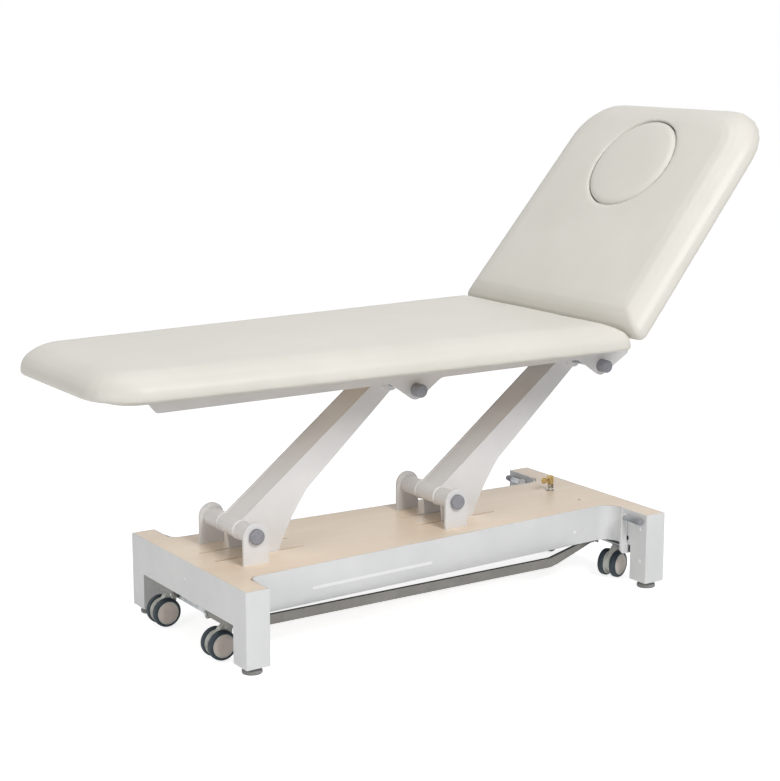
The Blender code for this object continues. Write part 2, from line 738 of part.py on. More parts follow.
pin_x = HEAD_PIVOT_X + pin[0]
half_slot = CRANK_PIN_RADIUS + FORK_PLAY
swing = CRANK_RADIUS * (1 - math.cos(math.radians(31))) / 2
tall_slot = swing + CRANK_PIN_RADIUS + 0.0015
fork = oblong((pin_x - 0.020, pin_x + 0.014), (ACTUATOR_Z - FORK_HALF_HEIGHT, ACTUATOR_Z + FORK_HALF_HEIGHT))
middle_z = PIVOT_Z - CRANK_RADIUS + swing
slot = oblong((pin_x - half_slot, pin_x + half_slot), (middle_z - tall_slot, middle_z + tall_slot))
eye = plate(fork, -0.010, 0.010, "y", [slot])
stick = rod(at, ROD_RADIUS, pin_x - 0.018 - ROD_LENGTH, pin_x - 0.014, "x")
add("actuator_rod", weld(eye, stick), steel)

box_top = BOARD_UNDER - GAP
box = block((BOX_START, BOX_END), (-BOX_HALF_WIDTH, BOX_HALF_WIDTH), (box_top - BOX_HEIGHT, box_top))
inlet = rod((0.04, box_top - BOX_HEIGHT / 2), 0.010, BOX_END - 0.002, BOX_END + 0.016, "x", 16)
add("control_box", weld(box, inlet), dark_plastic)

# Key switch
key_x, key_y = KEY_SPOT
half = KEY_BLOCK / 2
key_z = BASE_TOP + KEY_HEIGHT - 0.012
barrel = block((key_x - half, key_x + half), (key_y - half, key_y + half), (BASE_TOP + GAP, BASE_TOP + KEY_HEIGHT))
collar = rod((key_x, key_y), KEY_BLOCK * 0.8, BASE_TOP + GAP, BASE_TOP + 0.004, "z", 20)
key_bore = rod((key_y, key_z), 0.002 + GAP, key_x - half - 0.01, key_x, "x", 12)
add("key_switch", cut(weld(barrel, collar), key_bore), brass)
shank = rod((key_y, key_z), 0.002, key_x - half - 0.008, key_x - 0.001, "x", 12)
bow = rod((key_x - half - 0.014, key_z), 0.009, key_y - 0.001, key_y + 0.001, "y", 20)
add("key", weld(shank, bow), steel, (key_x, key_y, key_z))


# Top frame
def side_rail_outline():
    """Rail web with a slanted foot end, two V-shaped ears with filleted flanks and a low tail, anticlockwise."""
    outline = [(SIDE_RAIL_START, RAIL_TOP - 0.010), (SIDE_RAIL_START + 0.020, RAIL_LOW)]
    radii = [0.0, RAIL_CORNER]
    for x in (UPPER_FOOT_X, UPPER_HEAD_X):
        drop = RAIL_LOW - UPPER_Z
        reach = math.hypot(EAR_SPREAD, drop)
        lean = math.acos(EAR_RADIUS / reach) + math.atan2(EAR_SPREAD, drop)
        first = math.pi / 2 + lean
        ear = circle((x, UPPER_Z), EAR_RADIUS, 10, first, 2 * (1.5 * math.pi - first))
        outline += [(x - EAR_SPREAD, RAIL_LOW), *ear, (x + EAR_SPREAD, RAIL_LOW)]
        radii += [EAR_FILLET, *[0.0] * len(ear), EAR_FILLET]
    outline[-1] = (SIDE_RAIL_END, RAIL_LOW + 0.002)
    radii[-1] = 0.0
    tail = SIDE_RAIL_END - TAIL_BACK
    outline += [(SIDE_RAIL_END, RAIL_TOP - TAIL_DROP), (tail, RAIL_TOP - TAIL_DROP)]
    outline += [(tail - TAIL_SLOPE, RAIL_TOP), (SIDE_RAIL_START, RAIL_TOP)]
    return rounded(outline, radii + [0.0] * 4, 4)


bores = [circle((x, UPPER_Z), UPPER_SHAFT_RADIUS + GAP, 20) for x in (UPPER_FOOT_X, UPPER_HEAD_X)]
flange_in = SIDE_RAIL_OUT - FLANGE_WIDTH
lug_half = LUG_WIDTH / 2
lug_outline = [(HINGE_X - lug_half, RAIL_TOP - 0.002), (HINGE_X + lug_half, RAIL_TOP - 0.002)]
lug_outline += circle((HINGE_X, HINGE_Z), lug_half, 10, 0.0, math.pi)
lug_bore = circle((HINGE_X, HINGE_Z), HINGE_ROD_RADIUS + GAP, 16)
for i, side in enumerate(("near", "far")):
    web = plate(side_rail_outline(), *pair(SIDE_RAIL_IN, SIDE_RAIL_OUT)[i], "y", bores)
    flange = block((SIDE_RAIL_START + 0.01, HINGE_X + lug_half + 0.004),
                   pair(flange_in, SIDE_RAIL_IN + 0.001)[i], (RAIL_TOP - FLANGE_THICK, RAIL_TOP))
    lug = plate(lug_outline, *pair(LUG_IN, LUG_IN + LUG_THICK)[i], "y", [lug_bore])
    add(f"{side}_side_rail", weld(web, flange, lug), arm_paint)

tube_top = RAIL_TOP - FLANGE_THICK - GAP
for end, x in (("foot", FOOT_CROSS_X), ("head", HEAD_CROSS_X)):
    wide = CROSS_TUBE_WIDTH / 2
    reach = SIDE_RAIL_IN - GAP
    tube = box_tube((x - wide, x + wide), (tube_top - CROSS_TUBE_HEIGHT, tube_top), -reach, reach, "y")
    add(f"{end}_cross_tube", tube, arm_paint)

for end, x in (("foot", UPPER_FOOT_X), ("head", UPPER_HEAD_X)):
    cap = UPPER_CAP_RADIUS
    start = SIDE_RAIL_OUT + GAP
    half_shaft = [
        (UPPER_SHAFT_RADIUS, start), (cap, start), (cap, UPPER_CAP_FACE - 0.003),
        (cap - 0.003, UPPER_CAP_FACE), (0.0, UPPER_CAP_FACE),
    ]
    shaft = [(r, -h) for r, h in half_shaft][::-1] + half_shaft
    add(f"{end}_upper_shaft", lathe(shaft, "y", (x, UPPER_Z), 20), cap_plastic, (x, 0.0, UPPER_Z))

# Leg rest
leg_corners = [(LEG_START, -LEG_HALF_FOOT), (LEG_END, -LEG_HALF_HINGE), (LEG_END, LEG_HALF_HINGE),
               (LEG_START, LEG_HALF_FOOT)]
leg_radii = [LEG_CORNER, HINGE_CORNER, HINGE_CORNER, LEG_CORNER]
leg_ply_radii = [max(radius - PLY_INSET, PLY_CORNER) for radius in leg_radii]
leg_ply_plan = rounded(shifted(leg_corners, PLY_INSET), leg_ply_radii, CORNER_STEPS)
leg_heart = (LEG_START + LEG_HALF_FOOT, LEG_END - LEG_HALF_HINGE)
add("leg_board", plate(leg_ply_plan, LEG_PLY_LOW, LEG_PLY_LOW + PLY_THICK, "z"), birch)
leg_pad = cushion(leg_corners, leg_radii, 0.11, LEG_PAD_LOW, LEG_PAD_TOP, LEG_CROWN, leg_heart)
rod_half = LUG_IN + LUG_THICK + 0.003
pocket_half = rod_half + HINGE_CLEAR
pocket = block((HINGE_X - HINGE_EYE - HINGE_CLEAR, LEG_END + 0.01), (-pocket_half, pocket_half),
               (LEG_PAD_LOW - 0.01, HINGE_Z + HINGE_EYE + HINGE_CLEAR))
leg_pad = cut(leg_pad, pocket)
add("leg_cushion", leg_pad, vinyl)

# Backrest, drawn flat about the hinge and then leaned
hinge = (HINGE_X, 0.0, HINGE_Z)
leaned = (0.0, -BACK_LEAN, 0.0)
back_corners = [(BACK_START, -BACK_HALF_HINGE), (BACK_END, -BACK_HALF_TOP), (BACK_END, BACK_HALF_TOP),
                (BACK_START, BACK_HALF_HINGE)]
back_radii = [HINGE_CORNER, BACK_CORNER, BACK_CORNER, HINGE_CORNER]
back_ply_radii = [max(radius - PLY_INSET, PLY_CORNER) for radius in back_radii]
back_ply_plan = rounded(shifted(back_corners, PLY_INSET), back_ply_radii, CORNER_STEPS)
plug_hole = circle((PLUG_AT, 0.0), PLUG_HOLE, 40)
ply_front = PAD_BACK - GAP
ply_back = ply_front - PLY_THICK
back_ply = plate(back_ply_plan, ply_back, ply_front, "z", [plug_hole])
add("backrest_board", back_ply, birch, hinge, leaned, local=True)
back_heart = (BACK_START + BACK_LENGTH * 0.45, BACK_END - BACK_LENGTH * 0.45)
back_pad = cushion(back_corners, back_radii, 0.10, PAD_BACK, PAD_FRONT, 0.0, back_heart)
hole_profile = [(0.0, PAD_BACK - 0.02), (PLUG_HOLE, PAD_BACK - 0.02)]
for i in range(5):
    spin = math.pi / 2 * i / 4
    out = PLUG_HOLE + HOLE_ROLL * (1 - math.cos(spin))
    hole_profile.append((out, PAD_FRONT - HOLE_ROLL * (1 - math.sin(spin))))
hole_profile += [(PLUG_HOLE + HOLE_ROLL * 1.3, PAD_FRONT + 0.001), (0.0, PAD_FRONT + 0.001)]
back_pad = cut(back_pad, lathe(hole_profile, "z", (PLUG_AT, 0.0), 40))
add("backrest_cushion", back_pad, vinyl, hinge, leaned, local=True)

plug_profile = [(0.0, ply_back), (PLUG_RADIUS - 0.002, ply_back), (PLUG_RADIUS, ply_back + 0.002)]
for i in range(5):
    spin = math.pi / 2 * i / 4
    out = PLUG_RADIUS - PLUG_ROLL * (1 - math.cos(spin))
    plug_profile.append((out, PAD_FRONT - PLUG_ROLL * (1 - math.sin(spin))))
plug_profile += [(PLUG_RADIUS * 0.6, PAD_FRONT + PLUG_CROWN * 0.8), (0.0, PAD_FRONT + PLUG_CROWN)]
add("face_plug", lathe(plug_profile, "z", (PLUG_AT, 0.0), 40), vinyl, hinge, leaned, local=True)

knuckle_top = ply_back - GAP
knuckle_low = knuckle_top - KNUCKLE_DEPTH
knuckle = circle((0.0, 0.0), HINGE_EYE, 12, 0.0, math.pi)
knuckle += [(-HINGE_EYE, knuckle_low + 0.006), (-HINGE_EYE + 0.006, knuckle_low)]
knuckle += [(KNUCKLE_LENGTH - 0.008, knuckle_low), (KNUCKLE_LENGTH, knuckle_low + 0.008)]
knuckle += [(KNUCKLE_LENGTH, knuckle_top), (HINGE_EYE, knuckle_top)]
knuckle_bore = circle((0.0, 0.0), HINGE_ROD_RADIUS + GAP, 16)
for side, y in zip(("near", "far"), pair(KNUCKLE_IN, KNUCKLE_IN + KNUCKLE_THICK)):
    add(f"{side}_back_hinge", plate(knuckle, *y, "y", [knuckle_bore]), arm_paint, hinge, leaned, local=True)
add("hinge_rod", rod((0.0, 0.0), HINGE_ROD_RADIUS, -rod_half, rod_half, "y", 16), steel, hinge, local=True)

gas_pin = (-GAS_CRANK * math.sin(GAS_MID), -GAS_CRANK * math.cos(GAS_MID))
back_tube = block((BACK_TUBE_AT, BACK_TUBE_AT + BACK_TUBE_WIDTH), (GAP - KNUCKLE_IN, KNUCKLE_IN - GAP),
                  (knuckle_low, knuckle_top))
crank = [(BACK_TUBE_AT + 0.010, knuckle_low + 0.001), (BACK_TUBE_AT + 0.010, knuckle_top - 0.001)]
crank += circle(gas_pin, 0.009, 8, math.radians(100), math.radians(180))
crank_y = (GAS_Y + 0.008, GAS_Y + 0.013)
crank_pin = rod(gas_pin, GAS_PIN_RADIUS, GAS_Y - 0.007, GAS_Y + 0.009, "y", 16)
back_tube = weld(back_tube, plate(crank, *crank_y, "y"), crank_pin)
add("backrest_cross_tube", back_tube, arm_paint, hinge, leaned, local=True)

rest_swing = BACK_LEAN - GAS_MID
gas_x = HINGE_X + GAS_CRANK * math.sin(rest_swing)
gas_rise = GAS_CRANK * (1 - math.cos(GAS_MID)) / 2
gas_z = HINGE_Z - GAS_CRANK + gas_rise
gas_start = HEAD_CROSS_X + CROSS_TUBE_WIDTH / 2 + GAP
gas_bore = GAS_ROD_RADIUS + GAP
gas_stop = gas_start + GAS_LENGTH
gas_profile = [
    (0.0, gas_start), (GAS_RADIUS, gas_start), (GAS_RADIUS, gas_stop - 0.002), (GAS_RADIUS - 0.002, gas_stop),
    (gas_bore, gas_stop), (gas_bore, gas_start + 0.010), (0.0, gas_start + 0.010),
]
add("gas_cylinder", lathe(gas_profile, "x", (GAS_Y, gas_z)), dark_plastic)
slot_half = GAS_PIN_RADIUS + GAS_PLAY
slot_tall = gas_rise + GAS_PIN_RADIUS + 0.001
gas_eye = plate(oblong((gas_x - 0.011, gas_x + 0.010), (gas_z - slot_tall - 0.004, gas_z + slot_tall + 0.004)),
                GAS_Y - 0.006, GAS_Y + 0.006, "y",
                [oblong((gas_x - slot_half, gas_x + slot_half), (gas_z - slot_tall, gas_z + slot_tall))])
gas_stick = rod((GAS_Y, gas_z), GAS_ROD_RADIUS, gas_x - 0.008 - GAS_ROD_LENGTH, gas_x - 0.008, "x", 16)
add("gas_rod", weld(gas_eye, gas_stick), steel)

# Foot switch bars and their hangers
bar_half = BAR_THICK / 2
bar_line = rounded(
    [(BAR_CRANK_X, -BAR_PIVOT_FOOT_Y), (BAR_CRANK_X, -BAR_Y), (BAR_BEND_X, -BAR_Y),
     (BAR_TIP_X - BAR_TIP_RUN, -BAR_TIP_Y - BAR_TIP_RADIUS), (BAR_TIP_X, -BAR_TIP_Y), (BAR_TIP_X, -BAR_PIVOT_HEAD_Y)],
    [0, BAR_CRANK_RADIUS, BAR_BEND_RADIUS, BAR_TIP_RADIUS, BAR_TIP_RADIUS, 0], 4, closed=False)
bar_outline = shifted(bar_line, -bar_half, closed=False) + shifted(bar_line, bar_half, closed=False)[::-1]
foot_low = BAR_TOP - 0.016
tip_low = BAR_TOP - 0.012
beyond = BASE_LENGTH / 2 + BAR_THICK
under = BAR_BOTTOM - GAP
under_cut = [
    (-beyond, 0.0), (beyond, 0.0), (beyond, tip_low), (BAR_TIP_X - BAR_TIP_RUN, tip_low), (BAR_BEND_X + 0.03, under),
    (BAR_CRANK_X + 0.05, under), (BAR_CRANK_X + 0.02, foot_low), (-beyond, foot_low),
]
stud_foot_y = -BAR_PIVOT_FOOT_Y
stud_head_y = -BAR_PIVOT_HEAD_Y
shape = cut(plate(bar_outline, BAR_BOTTOM, BAR_TOP, "z"), plate(under_cut, -BASE_WIDTH / 2, BASE_WIDTH / 2, "y"))
eyes = [
    rod((stud_foot_y, BAR_PIVOT_Z), BAR_EYE, BAR_CRANK_X - bar_half, BAR_CRANK_X + bar_half, "x", 20),
    rod((stud_head_y, BAR_PIVOT_Z), BAR_EYE, BAR_TIP_X - bar_half, BAR_TIP_X + bar_half, "x", 20),
]
shape = weld(shape, *eyes)
bore = BAR_STUD_RADIUS + GAP
shape = cut(shape, rod((stud_foot_y, BAR_PIVOT_Z), bore, BAR_CRANK_X - BAR_THICK, BAR_CRANK_X + BAR_THICK, "x", 16),
            rod((stud_head_y, BAR_PIVOT_Z), bore, BAR_TIP_X - BAR_THICK, BAR_TIP_X + BAR_THICK, "x", 16))
far_bar = shape.copy()
bmesh.ops.transform(far_bar, matrix=Matrix.Scale(-1, 4, (0, 1, 0)), verts=far_bar.verts)
bmesh.ops.reverse_faces(far_bar, faces=far_bar.faces)
add("near_foot_bar", shape, bar_paint, (0.0, stud_foot_y, BAR_PIVOT_Z))
add("far_foot_bar", far_bar, bar_paint, (0.0, -stud_foot_y, BAR_PIVOT_Z))

for end, x, tip, stud_y in (
    ("foot", HANGER_FOOT_X, BAR_CRANK_X - bar_half - 0.002, BAR_PIVOT_FOOT_Y),
    ("head", HANGER_HEAD_X, BAR_TIP_X - bar_half - 0.002, BAR_PIVOT_HEAD_Y),
):
    sheet = block((x, x + HANGER_THICK), (-HANGER_HALF, HANGER_HALF), (HANGER_BOTTOM, BOARD_UNDER - GAP))
    studs = [rod((y, BAR_PIVOT_Z), BAR_STUD_RADIUS, tip, x + 0.001, "x", 16) for y in (-stud_y, stud_y)]
    add(f"foot_bar_hanger_{end}", weld(sheet, *studs), steel)

# Castor lift: shaft, levers and beams
leg_face = BASE_WIDTH / 2 - LEG_SIDE - GAP
shaft_at = (LIFT_SHAFT_X, LIFT_SHAFT_Z)
lift_origin = (LIFT_SHAFT_X, 0.0, LIFT_SHAFT_Z)
lift_shaft = plate(circle(shaft_at, LIFT_SHAFT_RADIUS, 20), -leg_face, leg_face, "y")
add("lift_shaft", lift_shaft, steel, lift_origin)
left = LEVER_X - LEVER_WIDTH / 2
right = LEVER_X + LEVER_WIDTH / 2
lever_outline = circle(shaft_at, 0.011, 12, math.radians(-100), math.radians(190))
lever_outline += [(right, SKIRT_BOTTOM - 0.003), (right, LEVER_TOP - 0.004), (right - 0.004, LEVER_TOP),
                  (left + 0.004, LEVER_TOP), (left, LEVER_TOP - 0.004), (left, LIFT_SHAFT_Z), (left + 0.008, 0.0865)]
lever_bore = circle(shaft_at, LIFT_SHAFT_RADIUS + GAP, 20)
for side, y, peg in zip(("near", "far"), pair(LEVER_Y, LEVER_Y + LEVER_THICK), pair(LEVER_Y + 0.001, PEG_END)):
    lever = weld(plate(lever_outline, *y, "y", [lever_bore]), rod((LEVER_X, PEG_Z), PEG_RADIUS, *peg, "y", 16))
    add(f"{side}_castor_lever", lever, chrome, lift_origin)

for end, x in (("foot", -CASTOR_X), ("head", CASTOR_X)):
    wide = BEAM_WIDTH / 2
    beam = block((x - wide, x + wide), (-leg_face, leg_face), (BEAM_BOTTOM, BEAM_BOTTOM + BEAM_HEIGHT))
    low, high = BEAM_BOTTOM - 0.01, BEAM_BOTTOM + 0.015
    holes = [rod((x, y), 0.005 + GAP, low, high, "z", 16) for y in (-CASTOR_Y, CASTOR_Y)]
    inside, outside, depth = BEAM_NOTCH
    for y in pair(inside, outside):
        holes.append(block((x - BEAM_WIDTH, x + BEAM_WIDTH), y, (BEAM_BOTTOM - depth, BEAM_BOTTOM + depth)))
    add(f"{end}_castor_beam", cut(beam, *holes), steel)

# Castors, drawn about the swivel axis with the wheel trailing towards -X
hood = circle((-TRAIL, WHEEL_Z), 0.024, 10, math.radians(120), math.radians(200))
hood += [(0.010, 0.066), (0.011, 0.084), (-0.011, 0.084), (-0.020, 0.078)]
neck = [(0.0, 0.076), (0.0135, 0.076), (0.0135, 0.082), (STEM_RADIUS, 0.090), (STEM_RADIUS, BEAM_BOTTOM - GAP),
        (0.005, BEAM_BOTTOM - GAP), (0.005, BEAM_BOTTOM + 0.013), (0.0, BEAM_BOTTOM + 0.013)]
axle_hole = circle((-TRAIL, WHEEL_Z), AXLE_RADIUS + GAP, 12)
inside = FORK_HALF + 0.0007
half_wheel = [
    (AXLE_RADIUS, inside), (WHEEL_RADIUS - 0.003, inside), (WHEEL_RADIUS, inside + 0.004),
    (WHEEL_RADIUS, WHEEL_HALF - 0.006), (WHEEL_RADIUS - 0.005, WHEEL_HALF - 0.001),
    (WHEEL_RADIUS - 0.010, WHEEL_HALF - 0.001), (WHEEL_RADIUS - 0.011, WHEEL_HALF - 0.003),
    (0.010, WHEEL_HALF - 0.002), (0.008, WHEEL_HALF), (0.0, WHEEL_HALF),
]
wheel_profile = [(r, -h) for r, h in half_wheel][::-1] + half_wheel
for end, x, spin in (("foot", -CASTOR_X, 0.0), ("head", CASTOR_X, HEAD_CASTOR_TURN)):
    for side, y in (("near", -CASTOR_Y), ("far", CASTOR_Y)):
        frame = weld(plate(hood, -FORK_HALF, FORK_HALF, "y", [axle_hole]), lathe(neck, "z", sides=12))
        add(f"{side}_{end}_castor_fork", frame, castor_plastic, (x, y, 0.0), (0.0, 0.0, spin), local=True)
        centre = (x - TRAIL * math.cos(spin), y - TRAIL * math.sin(spin), WHEEL_Z)
        wheels = lathe(wheel_profile, "y", sides=18)
        add(f"{side}_{end}_castor_wheels", wheels, tyre_rubber, centre, (0.0, 0.0, spin), local=True)
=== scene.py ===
import json
import math

import bmesh
import bpy
import numpy as np
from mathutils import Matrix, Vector
from mathutils.bvhtree import BVHTree
from mathutils.geometry import convex_hull_2d


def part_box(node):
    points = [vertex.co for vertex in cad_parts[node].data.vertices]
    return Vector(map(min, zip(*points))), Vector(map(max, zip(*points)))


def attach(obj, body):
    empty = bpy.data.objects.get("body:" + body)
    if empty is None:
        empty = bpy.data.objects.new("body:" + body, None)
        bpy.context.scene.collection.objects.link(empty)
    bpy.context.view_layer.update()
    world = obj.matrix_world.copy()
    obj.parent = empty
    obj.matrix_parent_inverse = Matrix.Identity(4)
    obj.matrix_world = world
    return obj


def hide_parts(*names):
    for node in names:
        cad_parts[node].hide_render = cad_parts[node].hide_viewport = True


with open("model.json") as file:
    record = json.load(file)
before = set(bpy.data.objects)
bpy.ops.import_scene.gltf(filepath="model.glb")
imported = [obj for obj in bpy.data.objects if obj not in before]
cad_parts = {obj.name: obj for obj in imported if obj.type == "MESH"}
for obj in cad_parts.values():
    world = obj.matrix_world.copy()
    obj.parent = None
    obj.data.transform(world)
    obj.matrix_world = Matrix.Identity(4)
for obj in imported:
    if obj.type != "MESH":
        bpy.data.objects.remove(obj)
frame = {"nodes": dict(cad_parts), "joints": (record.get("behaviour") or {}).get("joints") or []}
nodes = frame["nodes"]
pivots = {joint["name"]: Vector(joint["pos_m"]) for joint in frame["joints"] if "pos_m" in joint}
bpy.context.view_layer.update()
scene = bpy.context.scene

# Camera
# The couch is seen from its foot end, three-quarters on and a little above the cushions,
# through a long lens that keeps the rails nearly parallel.
LENS_MM = 83.6
SENSOR_MM = 36.0
CAMERA_AT = (-2.4780, -3.7330, 1.4574)
LOOKS_DOWN = 11.45
TURNED_RIGHT = 33.29
lens = bpy.data.cameras.new("studio_camera")
lens.lens = LENS_MM
lens.sensor_width = SENSOR_MM
camera = bpy.data.objects.new("studio_camera", lens)
camera.location = CAMERA_AT
camera.rotation_euler = (math.radians(90 - LOOKS_DOWN), 0.0, math.radians(-TURNED_RIGHT))
scene.collection.objects.link(camera)
scene.camera = camera
scene.view_settings.view_transform = "Standard"

# Studio
# A seamless white floor under a white surround. The floor shows the camera mostly its own white and keeps
# a faint shadow under the couch. The key lamp stands high on the near side, a weaker lamp low off the foot
# end, and a broad one hangs overhead.
FLOOR_REACH = 14.0
FLOOR_GLOW = 0.8
SURROUND_LIGHT = 0.26
SURROUND_SEEN = 1.0
LAMPS_AIM = Vector((0.0, 0.0, 0.45))


def hue(code):
    """Linear colour of an sRGB hex value."""
    parts = [int(code[i:i + 2], 16) / 255 for i in (1, 3, 5)]
    return tuple(c / 12.92 if c <= 0.04045 else ((c + 0.055) / 1.055) ** 2.4 for c in parts) + (1.0,)


def node(owner, kind, sockets=(), **settings):
    """Adds a node, sets its properties, then sets each socket or links it where another socket is given."""
    made = owner.node_tree.nodes.new(kind)
    for key, value in settings.items():
        setattr(made, key, value)
    for key, value in dict(sockets).items():
        if isinstance(value, bpy.types.NodeSocket):
            owner.node_tree.links.new(value, made.inputs[key])
        else:
            made.inputs[key].default_value = value
    return made


def direct_view(owner, *rays):
    """One where the camera or a ray of the named kinds looks straight at a surface, nought elsewhere."""
    paths = node(owner, "ShaderNodeLightPath")
    seen = paths.outputs["Is Camera Ray"]
    for ray in rays:
        seen = node(owner, "ShaderNodeMath", {0: seen, 1: paths.outputs[ray]}, operation="MAXIMUM").outputs[0]
    return seen


def linked(name, mesh):
    """Object for a mesh, linked to the scene."""
    made = bpy.data.objects.new(name, mesh)
    scene.collection.objects.link(made)
    return made


def built(name, shape, *finishes):
    """Object from a finished shape and its finishes; the shape is freed."""
    mesh = bpy.data.meshes.new(name)
    shape.to_mesh(mesh)
    shape.free()
    for finish in finishes:
        mesh.materials.append(finish)
    return linked(name, mesh)


# Studio paper: plain matt white, which glows a little so that no edge of the floor shows.
paper = bpy.data.materials.new("studio_paper")
paper.use_nodes = True
paper.node_tree.nodes.clear()
bounce = node(paper, "ShaderNodeBsdfDiffuse", {"Color": hue("#E4E4E4")})
share = node(paper, "ShaderNodeMath", {0: direct_view(paper, "Is Glossy Ray"), 1: FLOOR_GLOW},
             operation="MULTIPLY")
glow = node(paper, "ShaderNodeEmission", {"Color": hue("#FFFFFF"), "Strength": share.outputs[0]})
both = node(paper, "ShaderNodeAddShader", {0: bounce.outputs[0], 1: glow.outputs[0]})
node(paper, "ShaderNodeOutputMaterial", {"Surface": both.outputs[0]})

shape = bmesh.new()
floor_corners = ((-1, -1), (1, -1), (1, 1), (-1, 1))
shape.faces.new([shape.verts.new((x * FLOOR_REACH, y * FLOOR_REACH, 0.0)) for x, y in floor_corners])
built("studio_floor", shape, paper)

world = bpy.data.worlds.new("studio_surround")
world.use_nodes = True
world.node_tree.nodes.clear()
level = node(world, "ShaderNodeMapRange",
             {"Value": direct_view(world, "Is Glossy Ray", "Is Transmission Ray"),
              "To Min": SURROUND_LIGHT, "To Max": SURROUND_SEEN})
sky = node(world, "ShaderNodeBackground", {"Color": hue("#FFFFFF"), "Strength": level.outputs[0]})
node(world, "ShaderNodeOutputWorld", {"Surface": sky.outputs[0]})
scene.world = world

for name, place, size, watts in (
    ("key_lamp", (0.1, -3.6, 3.2), 1.5, 107.0),
    ("front_lamp", (-3.6, -1.2, 1.1), 1.6, 27.0),
    ("top_lamp", (-0.3, 0.3, 4.2), 3.0, 44.0),
):
    lamp = bpy.data.lights.new(name, "AREA")
    lamp.size = size
    lamp.energy = watts
    lamp_object = bpy.data.objects.new(name, lamp)
    lamp_object.location = place
    aim = LAMPS_AIM - Vector(place)
    lamp_object.rotation_euler = aim.to_track_quat("-Z", "Y").to_euler()
    scene.collection.objects.link(lamp_object)

# Levelling feet
# Turned rubber pads under zinc-plated collars, whose threaded studs are screwed up into the four legs
# to stand the couch level.
CREASE = math.radians(36)
STUD_IN_LEG = 0.022
# A mix node's colour sockets share their names with its number sockets, so they go by their place.
COLOUR_A = 6
COLOUR_B = 7
COLOUR_OUT = 2


def surface(name, **constants):
    """New finish with its constant values on the shader's own sockets."""
    made = bpy.data.materials.new(name)
    made.use_nodes = True
    shader = made.node_tree.nodes["Principled BSDF"]
    for key, value in constants.items():
        shader.inputs[key.replace("_", " ")].default_value = value
    return made


def feed(finish, sockets):
    """Links outputs to the named sockets of a finish's shader."""
    shader = finish.node_tree.nodes["Principled BSDF"]
    for key, output in sockets.items():
        finish.node_tree.links.new(output, shader.inputs[key])


def wear(finish, dark, pale, patch_mm, grit_mm, rough, bump=0.0, stretch=(1.0, 1.0, 1.0)):
    """Gives a finish soft colour patches, a fine grit and a roughness that varies with the patches."""
    place = node(finish, "ShaderNodeTexCoord")
    fit = node(finish, "ShaderNodeMapping", {"Vector": place.outputs["Object"], "Scale": stretch})
    patch = node(finish, "ShaderNodeTexNoise",
                 {"Vector": fit.outputs[0], "Scale": 1000.0 / patch_mm, "Detail": 3.0, "Roughness": 0.55})
    grit = node(finish, "ShaderNodeTexNoise",
                {"Vector": fit.outputs[0], "Scale": 1000.0 / grit_mm, "Detail": 2.0, "Roughness": 0.6})
    mixed = node(finish, "ShaderNodeMath", {0: grit.outputs[0], 1: 0.2, 2: patch.outputs[0]},
                 operation="MULTIPLY_ADD")
    tone = node(finish, "ShaderNodeMapRange", {"Value": mixed.outputs[0], "From Min": 0.4, "From Max": 0.8})
    blend = node(finish, "ShaderNodeMix",
                 {"Factor": tone.outputs[0], COLOUR_A: hue(dark), COLOUR_B: hue(pale)}, data_type="RGBA")
    dull = node(finish, "ShaderNodeMapRange",
                {"Value": patch.outputs[0], "From Min": 0.3, "From Max": 0.7,
                 "To Min": rough[0], "To Max": rough[1]})
    feed(finish, {"Base Color": blend.outputs[COLOUR_OUT], "Roughness": dull.outputs[0]})
    if bump:
        relief = node(finish, "ShaderNodeBump",
                      {"Height": grit.outputs[0], "Strength": bump, "Distance": grit_mm / 4000.0})
        feed(finish, {"Normal": relief.outputs[0]})
    return finish


def turned(name, profile, place, axis, finishes, facets=48):
    """Piece turned about an axis from (radius, height) points, with one finish or one for each step."""
    if not isinstance(finishes, list):
        finishes = [finishes] * (len(profile) - 1)
    order = list(dict.fromkeys(finishes))
    axis = Vector(axis).normalized()
    across = axis.orthogonal().normalized()
    third = axis.cross(across)
    spins = [2 * math.pi * i / facets for i in range(facets)]
    round_ways = [across * math.cos(spin) + third * math.sin(spin) for spin in spins]
    shape = bmesh.new()
    rings = []
    for radius, height in profile:
        middle = Vector(place) + axis * height
        ways = round_ways if radius else [Vector()]
        rings.append([shape.verts.new(middle + way * radius) for way in ways])
    for finish, one, two in zip(finishes, rings, rings[1:]):
        for i in range(facets):
            j = (i + 1) % facets
            loop = [one[i % len(one)], one[j % len(one)], two[j % len(two)], two[i % len(two)]]
            face = shape.faces.new(list(dict.fromkeys(loop)))
            face.material_index = order.index(finish)
            face.smooth = True
    bmesh.ops.recalc_face_normals(shape, faces=shape.faces)
    piece = built(name, shape, *order)
    piece.data.set_sharp_from_angle(angle=CREASE)
    return piece


def mount(piece, body, slot, *stands_for):
    """Fixes a piece to a moving body and hides the solids it stands for; slot is not used."""
    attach(piece, body)
    if stands_for:
        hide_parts(*stands_for)


def middle_of(name):
    """Middle of a solid's box."""
    low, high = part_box(name)
    return (Vector(low) + Vector(high)) / 2


ends = ("foot", "head")
sides = ("near", "far")
corners = [f"{side}_{end}" for side in sides for end in ends]
# Moulded grey rubber: dull, faintly mottled, with the mould's fine grain drawn twice its real size.
sole_rubber = wear(surface("moulded_sole_rubber", Specular_IOR_Level=0.4), "#858583", "#A0A09E",
                   patch_mm=18.0, grit_mm=1.5, rough=(0.6, 0.78), bump=0.35)
